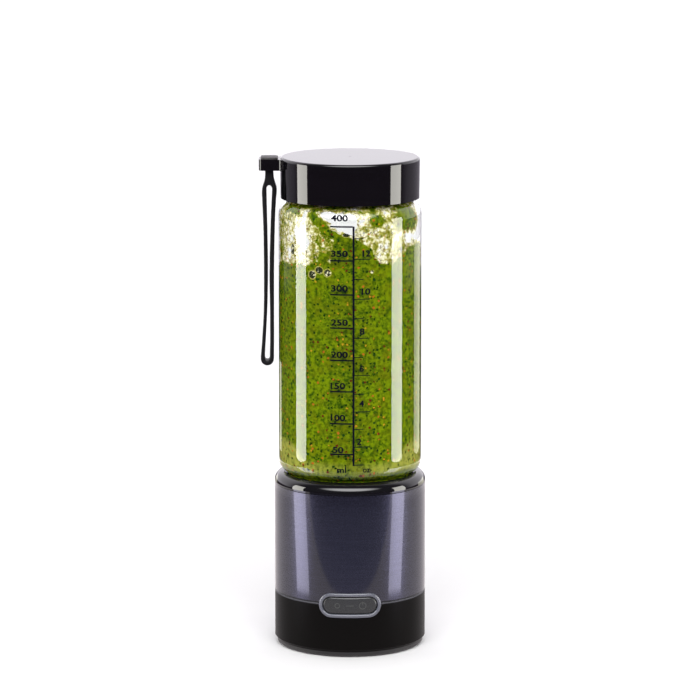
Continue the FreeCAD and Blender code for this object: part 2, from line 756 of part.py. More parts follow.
def make_switch_plunger():
    """The switch's plunger, from the hollow back of the cap to a little above the bottom of its hole."""
    start = -math.sqrt(cap_back ** 2 - plunger_radius ** 2)
    end = switch_front_y + switch_depth - air_gap * 2 - button_travel
    return rod_along(Y_AXIS, plunger_radius, V(0, start, button_z), end - start)


def make_switch_board():
    half = switch_board_height / 2
    return block(-switch_board_half, switch_board_half,
                 -switch_board_y - board_thickness, -switch_board_y,
                 button_z - half, button_z + half)


def make_status_led():
    front = -switch_board_y - board_thickness
    return block(led_x - led_length / 2, led_x + led_length / 2, front - led_depth, front,
                 button_z - led_height / 2, button_z + led_height / 2)


# ---- blade seat, spindle and blades --------------------------------------------------------------
def make_blade_seat():
    groove_top = lower_bearing_bottom
    body = turned([
        (hub_bore, hub_bottom), (hub_radius, hub_bottom), (hub_radius, ledge_top),
        (seat_radius, ledge_top), (seat_radius, gasket_bottom),
        (hub_radius + hub_fillet, gasket_bottom),
        (polar(hub_fillet, 225, hub_radius + hub_fillet, gasket_bottom + hub_fillet),
         (hub_radius, gasket_bottom + hub_fillet)),
        (hub_radius, hub_top), (hub_bore, hub_top), (hub_bore, seal_bottom), (web_hole_radius, seal_bottom),
        (web_hole_radius, upper_bearing_top), (hub_bore, upper_bearing_top), (hub_bore, groove_top),
        (hub_bore + clip_groove, groove_top), (hub_bore + clip_groove, groove_top - clip_thickness),
        (hub_bore, groove_top - clip_thickness),
    ])
    depth = seat_screw_length - ledge_thickness + seat_gap
    for x, y in on_corners(seat_screw_circle):
        body = body.cut(disc(screw_radius + seat_gap, ledge_top - overlap, ledge_top + depth, x, y))
    return body


def make_seat_screws():
    return as_group([screw(x, y, ledge_bottom, seat_screw_length)
                     for x, y in on_corners(seat_screw_circle)])


def make_bearing(bottom):
    return ring(spindle_radius + run_gap, bearing_radius, bottom, bottom + bearing_height)


def make_bearing_clip():
    top = lower_bearing_bottom
    outer = hub_bore + clip_groove - seat_gap
    clip = ring(clip_inner_radius, outer, top - clip_thickness, top)
    return clip.cut(block(0, outer + overlap, -overlap, overlap,
                          top - clip_thickness - overlap, top + overlap))


def make_shaft_seal():
    """A ring with a hollow top and a lip that leans in to the spindle."""
    lip, wall = run_gap * 2, (bearing_radius - spindle_radius) / 3
    return turned([
        (spindle_radius + lip, seal_bottom), (bearing_radius, seal_bottom), (bearing_radius, hub_top),
        (bearing_radius - wall, hub_top), (bearing_radius - wall, seal_bottom + wall),
        (spindle_radius + wall, seal_bottom + wall), (spindle_radius + wall, hub_top - seal_height / 4),
        (spindle_radius + lip, hub_top - seal_height / 4),
    ])


def clip_heights():
    top = lower_bearing_bottom - air_gap
    return top - clip_thickness, top


def make_blade_spindle():
    shaft = disc(spindle_radius, driven_disc_bottom, blade_z)
    shaft = shaft.fuse(disc(blade_stud_radius, blade_z, stud_top))
    low, high = clip_heights()
    groove = ring(spindle_radius - spindle_clip_groove, spindle_radius + overlap, low, high)
    flat_x = blade_stud_radius * 0.75
    flat = block(flat_x, blade_stud_radius * 2, -blade_stud_radius * 2, blade_stud_radius * 2,
                 blade_z, stud_top + overlap)
    return shaft.cut([groove, flat])


def make_spindle_clip():
    low, high = clip_heights()
    inner = spindle_radius - spindle_clip_groove + seat_gap
    clip = ring(inner, spindle_clip_radius, low, high)
    return clip.cut(block(0, spindle_clip_radius + overlap, -inner, inner,
                          low - overlap, high + overlap))


def make_blade(underside, arm, angle, heading):
    """Two opposite arms, bent up from a round hub and narrowing to their tips."""
    rise, run = math.sin(math.radians(angle)), math.cos(math.radians(angle))
    tip = blade_bend + arm * run
    lean = blade_thickness * math.tan(math.radians(angle / 2))
    side = outline([
        (0, 0), (blade_bend, 0), (tip, arm * rise),
        (tip - blade_thickness * rise, arm * rise + blade_thickness * run),
        (blade_bend - lean, blade_thickness), (0, blade_thickness),
    ], in_xz)
    side.translate(V(0, -blade_root_half, 0))
    slab = side.extrude(V(0, blade_root_half * 2, 0))
    plan = outline([(0, -blade_root_half), (blade_bend, -blade_root_half), (tip, -blade_tip_half),
                    (tip, blade_root_half * 0.4), (blade_bend, blade_root_half), (0, blade_root_half)], in_xy)
    plan.translate(V(0, 0, -overlap))
    arm_shape = slab.common(plan.extrude(V(0, 0, arm + overlap * 2)))
    blade = disc(blade_hub_radius, 0, blade_thickness).fuse(about_axis(arm_shape, 2))
    hole = disc(blade_stud_radius + seat_gap, -overlap, blade_thickness + overlap)
    blade = blade.cut(hole).removeSplitter()
    blade.rotate(ORIGIN, Z_AXIS, heading)
    blade.translate(V(0, 0, underside))
    return blade


def make_blade_spacer():
    low = blade_z + blade_thickness
    return ring(blade_stud_radius + seat_gap, spacer_radius, low, low + spacer_height)


def make_blade_nut():
    corner = nut_across_flats / math.sqrt(3)
    hexagon = outline([polar(corner, 60 * number) for number in range(6)], in_xy)
    hexagon.translate(V(0, 0, nut_z))
    hole = disc(blade_stud_radius + seat_gap, nut_z - overlap, nut_z + nut_height + overlap)
    return hexagon.extrude(V(0, 0, nut_height)).cut(hole)


def make_dogs(z_low, first):
    slice_face = outline([
        polar(dog_inner_radius, -dog_angle / 2), polar(coupler_radius, -dog_angle / 2),
        (polar(coupler_radius, 0), polar(coupler_radius, dog_angle / 2)),
        polar(dog_inner_radius, dog_angle / 2),
        (polar(dog_inner_radius, 0), polar(dog_inner_radius, -dog_angle / 2)),
    ], in_xy)
    slice_face.translate(V(0, 0, z_low))
    return about_axis(slice_face.extrude(V(0, 0, dog_height)), dog_count, first)


def make_drive_coupler():
    plate = ring(motor_shaft_radius + seat_gap, coupler_radius, drive_disc_bottom, drive_disc_top)
    return plate.fuse(make_dogs(drive_disc_top, 0.0)).removeSplitter()


def make_driven_coupler():
    plate = ring(spindle_radius + seat_gap, coupler_radius, driven_disc_bottom, driven_disc_top)
    half_step = 180.0 / dog_count
    return plate.fuse(make_dogs(driven_disc_bottom - dog_height, half_step)).removeSplitter()


# ---- motor ---------------------------------------------------------------------------------------
def make_motor_can():
    inner = motor_radius - motor_wall
    body = turned([
        (inner, motor_bottom), (motor_radius, motor_bottom), (motor_radius, motor_top),
        (motor_shaft_radius + run_gap, motor_top), (motor_shaft_radius + run_gap, motor_top - motor_wall),
        (inner, motor_top - motor_wall),
    ])
    for side in (-1, 1):
        body = body.cut(disc(motor_screw_radius + seat_gap, motor_top - motor_screw_length,
                             motor_top + overlap, 0, side * motor_screw_circle))
    return body


def make_motor_endcap():
    plug = motor_radius - motor_wall - seat_gap
    return turned([
        (motor_shaft_radius + run_gap, motor_bottom - endcap_flange),
        (motor_radius, motor_bottom - endcap_flange), (motor_radius, motor_bottom), (plug, motor_bottom),
        (plug, motor_bottom + endcap_plug), (motor_shaft_radius + run_gap, motor_bottom + endcap_plug),
    ])


def make_motor_magnets():
    outer = motor_radius - motor_wall - seat_gap
    inner = outer - magnet_thickness
    half = magnet_angle / 2
    low, high = motor_bottom + magnet_end_gap, motor_top - magnet_end_gap
    face = outline([
        polar(inner, -half), polar(outer, -half), (polar(outer, 0), polar(outer, half)), polar(inner, half),
        (polar(inner, 0), polar(inner, -half)),
    ], in_xy)
    face.translate(V(0, 0, low))
    return as_group(about_axis(face.extrude(V(0, 0, high - low)), 2))


def make_motor_rotor():
    shaft_low = motor_bottom - endcap_flange
    core_low = motor_bottom + magnet_end_gap + commutator_height
    core_high = motor_top - magnet_end_gap - commutator_height
    shaft = disc(motor_shaft_radius, shaft_low, drive_disc_top)
    core = disc(armature_radius, core_low, core_high)
    slots = about_axis(block(commutator_radius * 2, armature_radius + overlap, -motor_wall, motor_wall,
                             core_low - overlap, core_high + overlap), 5)
    commutator = disc(commutator_radius, core_low - commutator_height, core_low + overlap)
    return shaft.fuse([core.cut(slots), commutator]).removeSplitter()


def cell_places():
    return [(-cell_x, 0.0), (cell_x, 0.0)]


def make_motor_plate():
    body = ring(plate_hole_radius, plate_radius, motor_top, plate_top)
    cuts = [disc(cell_bore, motor_top - overlap, plate_top + overlap, x, y) for x, y in cell_places()]
    cuts += [disc(screw_radius + slip_gap, motor_top - overlap, plate_top + overlap, x, y)
             for x, y in on_posts(post_circle)]
    cuts += [disc(motor_screw_radius + slip_gap, motor_top - overlap, plate_top + overlap, 0, side)
             for side in (-motor_screw_circle, motor_screw_circle)]
    return body.cut(cuts)


def make_motor_screws():
    length = plate_thickness + motor_screw_length - seat_gap
    return as_group([screw(0, side, plate_top, length, motor_screw_radius, motor_screw_head, up=False)
                     for side in (-motor_screw_circle, motor_screw_circle)])


# ---- inner frame, cells and boards ---------------------------------------------------------------
def board_rail(side, front, back, half, z_low, z_high):
    """An upright rail beside a board, from the motor's pocket out past the board."""
    x_low, x_high = sorted((side * (half - rail_width / 2), side * (half + rail_width / 2)))
    return block(x_low, x_high, front, back, z_low, z_high)


def make_inner_frame():
    flange_bottom = motor_top - frame_flange
    body = disc(pocket_radius, pocket_bottom, motor_top)
    for x, y in cell_places():
        body = body.fuse(disc(cell_bore + pocket_wall, pocket_bottom, motor_top, x, y))
    body = body.fuse(disc(frame_radius, flange_bottom, motor_top)).common(
        disc(frame_radius, pocket_bottom, motor_top))
    control_out = control_board_y + board_thickness + rail_end
    switch_out = switch_board_y + board_thickness + rail_end
    for side in (-1, 1):
        body = body.fuse(board_rail(side, 0, control_out, control_board_half,
                                    pocket_bottom, flange_bottom))
        body = body.fuse(board_rail(side, -switch_out, 0, switch_board_half, pocket_bottom,
                                    button_z + switch_board_height / 2))
    cuts = [disc(pocket_bore, pocket_bottom + pocket_floor, motor_top + overlap),
            disc(motor_radius / 2, pocket_bottom - overlap, motor_top)]
    cuts += [disc(cell_bore, pocket_bottom - overlap, motor_top + overlap, x, y)
             for x, y in cell_places()]
    for x, y in on_posts(post_circle):
        cuts.append(disc(screw_radius + slip_gap, flange_bottom - overlap, motor_top + overlap, x, y))
        cuts.append(disc(screw_head_radius + slip_gap, flange_bottom - screw_head_height * 2,
                         flange_bottom, x, y))
    cuts.append(block(-control_board_half - slip_gap, control_board_half + slip_gap,
                      control_board_y - slip_gap, control_board_y + board_thickness + slip_gap,
                      pocket_bottom - overlap, control_board_top))
    cuts.append(block(-switch_board_half - slip_gap, switch_board_half + slip_gap,
                      -switch_board_y - board_thickness - slip_gap, -switch_board_y + slip_gap,
                      pocket_bottom - overlap, button_z + switch_board_height))
    return body.cut(cuts)


def make_frame_screws():
    seat = motor_top - frame_flange
    length = frame_flange + plate_thickness + frame_screw_length - seat_gap
    return as_group([screw(x, y, seat, length) for x, y in on_posts(post_circle)])


def make_cell(side):
    """A lithium cell with its raised button at the top."""
    button = tab_thickness * 2
    body = disc(cell_radius, cell_bottom, cell_top - button, side * cell_x)
    return body.fuse(disc(cell_radius / 3, cell_top - button, cell_top, side * cell_x)).removeSplitter()


def make_cell_tabs():
    """A strip that joins the cells below, and one tab on the top of each cell."""
    half = tab_width / 2
    strip = block(-cell_x - half, cell_x + half, -half, half, cell_bottom - tab_thickness, cell_bottom)
    tops = [block(x - half, x + half, -half, half, cell_top, cell_top + tab_thickness)
            for x, y in cell_places()]
    return as_group([strip] + tops)


def make_control_board():
    """The upright board behind the motor, with two chips and an inductor on its inner face."""
    y_in = control_board_y
    board = block(-control_board_half, control_board_half, y_in, y_in + board_thickness,
                  control_board_bottom, control_board_top)
    for x, drop, width, height, depth in control_parts:
        z = control_board_top - drop
        board = board.fuse(block(x, x + width, y_in - depth, y_in + overlap / 2, z, z + height))
    return board.removeSplitter()


# ---- charging port -------------------------------------------------------------------------------
def make_charge_socket():
    back = control_board_y + board_thickness
    shell = pill(socket_half_length, socket_half_height, port_z, back, socket_front)
    mouth = pill(socket_half_length - socket_shell, socket_half_height - socket_shell, port_z,
                 socket_front - socket_depth, socket_front + overlap)
    tongue = block(-tongue_half_length, tongue_half_length, socket_front - socket_depth - overlap / 2,
                   socket_front - socket_shell, port_z - tongue_half_height, port_z + tongue_half_height)
    return shell.cut(mouth).fuse(tongue.common(shell))


def make_port_cover():
    """A soft flap that lies flush in the housing, with a shallow plug and a bead that it hinges on."""
    flap = pill(flap_half_length, flap_half_height, port_z, flap_back / 2, base_radius + overlap)
    flap = flap.common(band(flap_back, flap_radius, port_z))
    plug = pill(socket_half_length - socket_shell - slip_gap,
                socket_half_height - socket_shell - slip_gap, port_z,
                flap_back - flap_plug_depth, flap_back + flap_thickness / 2)
    bead = rod_along(X_AXIS, flap_bead_radius, V(-flap_bead_half, flap_axis_y, flap_axis_z),
                     flap_bead_half * 2)
    return flap.fuse([plug, bead]).removeSplitter()


pieces = {
    "lid_cap": make_lid_cap(),
    "lid_insert": make_lid_insert(),
    "lid_seal": make_lid_seal(),
    "strap_head": make_strap_head(),
    "strap_loop": make_strap_loop(),
    "jar": make_jar(),
    "jar_gasket": make_jar_gasket(),
    "collar": make_collar(),
    "metal_sleeve": make_metal_sleeve(),
    "lower_housing": make_lower_housing(),
    "bottom_cover": make_bottom_cover(),
    "cover_screws": make_cover_screws(),
    "foot_pad": make_foot_pad(),
    "button_bezel": make_button_bezel(),
    "button_cap": make_button_cap(),
    "tact_switch": make_tact_switch(),
    "switch_plunger": make_switch_plunger(),
    "switch_board": make_switch_board(),
    "status_led": make_status_led(),
    "blade_seat": make_blade_seat(),
    "seat_screws": make_seat_screws(),
    "lower_bearing": make_bearing(lower_bearing_bottom),
    "upper_bearing": make_bearing(upper_bearing_bottom),
    "bearing_clip": make_bearing_clip(),
    "shaft_seal": make_shaft_seal(),
    "blade_spindle": make_blade_spindle(),
    "spindle_clip": make_spindle_clip(),
    "lower_blade": make_blade(blade_z, lower_blade_arm, lower_blade_angle, 0.0),
    "blade_spacer": make_blade_spacer(),
    "upper_blade": make_blade(upper_blade_z, upper_blade_arm, upper_blade_angle, 90.0),
    "blade_nut": make_blade_nut(),
    "drive_coupler": make_drive_coupler(),
    "driven_coupler": make_driven_coupler(),
    "motor_can": make_motor_can(),
    "motor_endcap": make_motor_endcap(),
    "motor_magnets": make_motor_magnets(),
    "motor_rotor": make_motor_rotor(),
    "motor_plate": make_motor_plate(),
    "motor_screws": make_motor_screws(),
    "inner_frame": make_inner_frame(),
    "frame_screws": make_frame_screws(),
    "left_cell": make_cell(-1),
    "right_cell": make_cell(1),
    "cell_tabs": make_cell_tabs(),
    "control_board": make_control_board(),
    "charge_socket": make_charge_socket(),
    "port_cover": make_port_cover(),
}

os.makedirs("parts", exist_ok=True)
for name, shape in pieces.items():
    solids = shape.Solids
    kept = solids[0] if len(solids) == 1 else Part.makeCompound(solids)
    kept.exportStep("parts/" + name + ".step")
    print("%-16s solids %d  volume %9.1f  valid %s" % (name, len(solids), kept.Volume, kept.isValid()))
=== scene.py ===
import bpy
import bmesh
import json
import math
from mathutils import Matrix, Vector, noise


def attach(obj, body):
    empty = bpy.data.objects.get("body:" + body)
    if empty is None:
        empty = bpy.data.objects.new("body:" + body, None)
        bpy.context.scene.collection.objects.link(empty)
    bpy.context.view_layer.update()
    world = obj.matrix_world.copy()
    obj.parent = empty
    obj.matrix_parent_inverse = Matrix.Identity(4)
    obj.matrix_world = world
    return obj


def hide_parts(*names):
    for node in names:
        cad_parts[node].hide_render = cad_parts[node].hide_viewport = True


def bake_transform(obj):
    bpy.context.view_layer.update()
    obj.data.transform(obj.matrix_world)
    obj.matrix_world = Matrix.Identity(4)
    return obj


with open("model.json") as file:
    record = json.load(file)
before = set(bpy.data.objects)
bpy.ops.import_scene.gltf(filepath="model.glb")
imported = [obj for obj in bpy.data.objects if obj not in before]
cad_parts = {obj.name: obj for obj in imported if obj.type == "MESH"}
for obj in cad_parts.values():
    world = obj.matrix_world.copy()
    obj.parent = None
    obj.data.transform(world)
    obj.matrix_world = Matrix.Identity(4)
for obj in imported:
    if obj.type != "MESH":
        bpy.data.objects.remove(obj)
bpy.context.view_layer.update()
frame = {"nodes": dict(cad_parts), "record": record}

# Cordless bottle blender: the frame holds every solid piece, this file gives them their finish.
# Sizes are written in millimetres and multiplied by mm, because the frame is in metres.
mm = 0.001
scene = bpy.context.scene
scene.view_settings.view_transform = "Standard"
nodes = frame["nodes"]
slots = {part["node"]: part["material_slot"] for part in frame["record"]["subparts"]}


# camera, level with a table's edge and a little above the lid
cameraSettings = {
    "distance": 1883.46 * mm,   # in front of the base's axis
    "height": 470.9 * mm,
    "tilt": 9.9106,             # degrees down from level
    "lens": 206.6,
    "near": 0.05,
    "far": 20,
}


def addObject(name, data):
    item = bpy.data.objects.new(name, data)
    scene.collection.objects.link(item)
    return item


def makeCamera():
    data = bpy.data.cameras.new("camera")
    data.lens = cameraSettings["lens"]
    data.sensor_width = 36
    data.clip_start = cameraSettings["near"]
    data.clip_end = cameraSettings["far"]
    camera = addObject("camera", data)
    camera.location = (0, -cameraSettings["distance"], cameraSettings["height"])
    camera.rotation_euler = (math.radians(90 - cameraSettings["tilt"]), 0, 0)
    scene.camera = camera
    print("camera ready")


# small helpers for shader nodes
def connect(tree, outlet, inlet):
    tree.links.new(outlet, inlet)


def feed(tree, inlet, value):  # a socket is linked, anything else is typed in
    if isinstance(value, bpy.types.NodeSocket):
        connect(tree, value, inlet)
    elif isinstance(value, tuple) and inlet.type == "RGBA":
        inlet.default_value = (*value, 1)
    else:
        inlet.default_value = value


def feedAll(tree, node, entries):  # entries are inputs' names or numbers with their values
    for name, value in dict(entries).items():
        feed(tree, node.inputs[name], value)


def addNode(tree, kind, entries=(), **settings):
    node = tree.nodes.new("ShaderNode" + kind)
    for name, value in settings.items():
        setattr(node, name, value)
    feedAll(tree, node, entries)
    return node


def calculate(tree, operation, *values):
    return addNode(tree, "Math", enumerate(values), operation=operation).outputs[0]


def multiply(tree, first, *others):
    for value in others:
        first = calculate(tree, "MULTIPLY", first, value)
    return first


def vary(tree, base, pattern, amount, middle=0.5):  # a value that a pattern moves up and down
    return calculate(tree, "MULTIPLY_ADD", calculate(tree, "SUBTRACT", pattern, middle), amount, base)


def ramp(tree, value, low, high, toLow=0.0, toHigh=1.0, kind="SMOOTHSTEP"):
    entries = {"Value": value, "From Min": low, "From Max": high, "To Min": toLow, "To Max": toHigh}
    return addNode(tree, "MapRange", entries, interpolation_type=kind).outputs["Result"]


def softStep(tree, value, place, soft):  # 0 below a place and 1 above it
    return ramp(tree, value, place - soft, place + soft)


def mixColors(tree, share, first, second, mode="MIX"):
    entries = {"Factor": share, 6: first, 7: second}
    return addNode(tree, "Mix", entries, data_type="RGBA", blend_type=mode).outputs[2]


def scaleColor(tree, color, gain):
    return addNode(tree, "VectorMath", {0: color, "Scale": gain}, operation="SCALE").outputs[0]


def mixShaders(tree, *entries):
    return addNode(tree, "MixShader", enumerate(entries)).outputs[0]


def splitPlace(tree, place):
    return addNode(tree, "SeparateXYZ", {0: place}).outputs


def objectPlace(tree):
    return addNode(tree, "TexCoord").outputs["Object"]


def addNoise(tree, place, scale, detail=2.0, roughness=0.5):
    entries = {"Vector": place, "Scale": scale, "Detail": detail, "Roughness": roughness}
    return addNode(tree, "TexNoise", entries).outputs


# studio
studio = {
    "keyRadiance": 8.0,         # soft light above the camera
    "keyLift": 41.0,            # degrees above the horizon
    "keyTall": 22.0,            # half its height in degrees
    "keyWide": 60.0,
    "keyCore": 0.1,             # its evenly bright middle
    "backRadiance": (1.46, 1.41, 1.50),
    "backFade": (-0.05, 0.45),  # the glow at the back begins and is full here: 0 is the side, 1 the back
    "fillRadiance": (0.12, 0.115, 0.13),
    "panelRadiance": 8.8,       # tall lights at the left and right
    "sideRadiance": 1.7,        # their soft share, which mirrors nowhere
    "panelColor": (1.0, 0.98, 0.91),
    "panelDistance": 480 * mm,
    "panelWidth": 182 * mm,
    "panelHeight": 305 * mm,
    "sideHeight": 1200 * mm,
    "sideBehind": 20 * mm,      # the soft ones stand behind, so that they don't hide the mirrored ones
    "leftAngle": 84.0,          # degrees round from the camera
    "rightAngle": 79.5,
    "edgeColor": (1.0, 0.98, 0.80),
    "edgeHeight": 128 * mm,
    "leftEdge": (151.0, 115 * mm, 1.2),   # low lights behind: degrees round, width, radiance
    "rightEdge": (137.0, 225 * mm, 1.8),
    "sheetLeft": -410 * mm,     # the bright sheet on the table: its sides and its front edge
    "sheetRight": 460 * mm,
    "sheetSpread": 0.286,       # the right side opens by this towards the back
    "sheetFront": -155 * mm,
    "sheetBow": 0.1,            # the front edge comes nearer by this towards the sides
    "softEdge": 8 * mm,
    "endFade": 24 * mm,         # how long the sheet's end, its near part and the rear glow take to fade
    "nearFade": 48 * mm,
    "rearFade": 144 * mm,
    "sheetGlow": (1.52, 1.42, 1.44),
    "nearGlow": 0.56,           # the sheet's share of that close to the base
    "nearReach": 360 * mm,
    "darkGlow": (0.31, 0.315, 0.48),
    "farGlow": (0.06, 0.04, 0.06),
    "farStart": 330 * mm,       # the dark part fades to the far glow between these
    "farEnd": 460 * mm,
    "sheetEnd": 436 * mm,       # the sheet ends softly here
    "rearGlow": (0.34, 0.31, 0.36),  # a grey wall's foot, far behind at the sides
    "rearReach": 1050 * mm,
    "rearTurn": (math.radians(88), math.radians(112)),
    "bandStart": 66.0,          # the panels' glow on the table, in degrees as the base mirrors them
    "bandEnd": 90.3,
    "bandLean": 6.4,            # degrees outwards where it lies bandFar from the axis
    "bandFar": 380 * mm,
    "bandGlow": (4.4, 4.25, 5.3),
    "bandNear": 170 * mm,       # the band runs from here to the panels
    "bandSoft": 1.0,
    "bandHalf": 18 * mm,        # half the base's radius: the band looks upright in the round metal
    "floorWhite": 0.74,
    "floorHalf": 4.0,
}


def makeWorld():
    world = bpy.data.worlds.new("studio")
    scene.world = world
    world.use_nodes = True
    tree = world.node_tree
    east, north, lift = splitPlace(tree, addNode(tree, "TexCoord").outputs["Generated"])
    around = calculate(tree, "ARCTAN2", east, multiply(tree, north, -1.0))
    up = calculate(tree, "SUBTRACT", calculate(tree, "ARCSINE", lift), math.radians(studio["keyLift"]))
    up = calculate(tree, "DIVIDE", up, math.radians(studio["keyTall"]))
    across = calculate(tree, "DIVIDE", around, math.radians(studio["keyWide"]))
    away = calculate(tree, "ADD", multiply(tree, up, up), multiply(tree, across, across))
    key = ramp(tree, away, studio["keyCore"], 1.0, studio["keyRadiance"], 0.0)
    rear = ramp(tree, north, *studio["backFade"])
    fill = mixColors(tree, rear, studio["fillRadiance"], studio["backRadiance"])
    keyColor = scaleColor(tree, (1.0, 1.0, 1.0), key)
    glow = mixColors(tree, 1.0, fill, keyColor, "ADD")
    cameraRay = addNode(tree, "LightPath").outputs["Is Camera Ray"]
    shown = mixColors(tree, cameraRay, glow, (1.0, 1.0, 1.0))
    connect(tree, shown, tree.nodes["Background"].inputs["Color"])


def makePanel(degrees, width, height, radiance, color, mirrored):  # mirrored: seen in gloss, lights nothing
    angle = math.radians(degrees)
    data = bpy.data.lights.new("panel", "AREA")
    data.shape = "RECTANGLE"
    data.size = width
    data.size_y = height
    data.color = color
    data.energy = radiance * math.pi * data.size * data.size_y
    panel = addObject("panel", data)
    away = Vector((math.sin(angle), -math.cos(angle), 0))
    distance = studio["panelDistance"] + (0 if mirrored else studio["sideBehind"])
    panel.location = away * distance + Vector((0, 0, height / 2))
    panel.rotation_euler = away.to_track_quat("Z", "Y").to_euler()
    panel.visible_camera = False
    panel.visible_transmission = False
    panel.visible_diffuse = not mirrored
    panel.visible_glossy = mirrored


def makePanels():
    width, color = studio["panelWidth"], studio["panelColor"]
    for degrees in (-studio["leftAngle"], studio["rightAngle"]):
        makePanel(degrees, width, studio["panelHeight"], studio["panelRadiance"], color, True)
        makePanel(degrees, width, studio["sideHeight"], studio["sideRadiance"], color, False)
    for side, (degrees, width, radiance) in ((-1, studio["leftEdge"]), (1, studio["rightEdge"])):
        makePanel(side * degrees, width, studio["edgeHeight"], radiance, studio["edgeColor"], True)


def makeFloorGlow(tree):  # what reflections see: a bright sheet on a dark table, and the panels' glow on it
    place = addNode(tree, "NewGeometry").outputs["Position"]
    across, deep, _ = splitPlace(tree, place)
    reach = addNode(tree, "VectorMath", {0: place}, operation="LENGTH").outputs["Value"]
    soft = studio["softEdge"]
    slant = calculate(tree, "MULTIPLY_ADD", deep, studio["sheetSpread"], studio["sheetRight"])
    sideways = calculate(tree, "ABSOLUTE", across)
    bow = calculate(tree, "MULTIPLY_ADD", sideways, studio["sheetBow"], -studio["sheetFront"])
    within = ramp(tree, reach, studio["sheetEnd"], studio["sheetEnd"] + studio["endFade"], 1.0, 0.0)
    sheet = multiply(
        tree, within, softStep(tree, across, studio["sheetLeft"], soft),
        softStep(tree, calculate(tree, "SUBTRACT", slant, across), 0.0, soft),
        softStep(tree, calculate(tree, "ADD", deep, bow), 0.0, soft))
    nearEnd = studio["nearReach"] + studio["nearFade"]
    near = ramp(tree, reach, studio["nearReach"], nearEnd, studio["nearGlow"], 1.0)
    distant = ramp(tree, reach, studio["farStart"], studio["farEnd"])
    glow = mixColors(tree, distant, studio["darkGlow"], studio["farGlow"])
    glow = mixColors(tree, sheet, glow, scaleColor(tree, studio["sheetGlow"], near))
    around = calculate(tree, "ABSOLUTE", calculate(tree, "ARCTAN2", across, multiply(tree, deep, -1.0)))
    rear = ramp(tree, reach, studio["rearReach"], studio["rearReach"] + studio["rearFade"])
    rear = multiply(tree, rear, ramp(tree, around, *studio["rearTurn"]))
    glow = mixColors(tree, rear, glow, studio["rearGlow"])
    outside = calculate(tree, "SUBTRACT", reach, studio["bandHalf"])
    widening = calculate(tree, "DIVIDE", studio["bandHalf"], outside)
    turn = multiply(tree, around, calculate(tree, "ADD", widening, 1.0))
    lean = math.radians(studio["bandLean"])
    outward = ramp(tree, reach, studio["bandNear"], studio["bandFar"], 0.0, lean, "LINEAR")
    turn = calculate(tree, "SUBTRACT", turn, outward)
    inward = math.radians(studio["leftAngle"] - studio["rightAngle"])
    turn = calculate(tree, "MULTIPLY_ADD", calculate(tree, "GREATER_THAN", across, 0.0), inward, turn)
    start, end, edge = (math.radians(studio[name]) for name in ("bandStart", "bandEnd", "bandSoft"))
    band = multiply(
        tree, softStep(tree, turn, start, edge), ramp(tree, turn, end - edge, end + edge, 1.0, 0.0),
        ramp(tree, reach, studio["bandNear"] - studio["endFade"], studio["bandNear"]), within)
    return mixColors(tree, band, glow, studio["bandGlow"])


def makeFloor():  # plain white to the camera and through glass
    shape = bmesh.new()
    bmesh.ops.create_grid(shape, x_segments=1, y_segments=1, size=studio["floorHalf"])
    mesh = meshFrom(shape, "floor")
    floor = addObject("floor", mesh)
    material = bpy.data.materials.new("floorWhite")
    material.use_nodes = True
    material.cycles.emission_sampling = "NONE"
    tree = material.node_tree
    tree.nodes.clear()
    lit = addNode(tree, "Emission", {"Color": makeFloorGlow(tree)})
    white = addNode(tree, "BsdfDiffuse", {"Color": (studio["floorWhite"],) * 3})
    rays = addNode(tree, "LightPath").outputs
    seen = calculate(tree, "MAXIMUM", rays["Is Camera Ray"], rays["Is Transmission Ray"])
    addNode(tree, "OutputMaterial", {"Surface": mixShaders(tree, seen, lit.outputs[0], white.outputs[0])})
    mesh.materials.append(material)
    print("studio ready")


# node groups that more than one material uses
def startGroup(name, inputs, outputs):  # a colour's value is a tuple, any other is a number
    group = bpy.data.node_groups.new(name, "ShaderNodeTree")
    for way, sockets in (("INPUT", inputs), ("OUTPUT", outputs)):
        for label, value in sockets.items():
            kind = "NodeSocketColor" if isinstance(value, tuple) else "NodeSocketFloat"
            group.interface.new_socket(label, in_out=way, socket_type=kind).default_value = value
    return group, group.nodes.new("NodeGroupInput").outputs, group.nodes.new("NodeGroupOutput").inputs


grainMask = (0.35, 0.65)  # the mask is 0 under the first and 1 over the second


def makeGrainGroup():  # fine even grain, as height for a bump and as a mask
    group, inlets, outlets = startGroup(
        "fineGrain", {"Scale": 1000.0, "Detail": 2.0}, {"Height": 0.0, "Mask": 0.0})
    pattern = addNoise(group, objectPlace(group), inlets["Scale"], inlets["Detail"])["Fac"]
    connect(group, pattern, outlets["Height"])
    connect(group, ramp(group, pattern, *grainMask), outlets["Mask"])
    return group


def makeToneGroup():  # slow light and dark patches over a colour
    grey = (0.5, 0.5, 0.5, 1)
    group, inlets, outlets = startGroup(
        "toneShift", {"Color": grey, "Amount": 0.1, "Scale": 60.0}, {"Color": grey})
    pattern = addNoise(group, objectPlace(group), inlets["Scale"], detail=3.0)["Fac"]
    gain = vary(group, 1.0, pattern, inlets["Amount"])
    connect(group, scaleColor(group, inlets["Color"], gain), outlets["Color"])
    return group


speckShape = {"wobbleScale": 1100.0, "wobble": (1.1 * mm,) * 3, "softEdge": 1.25}


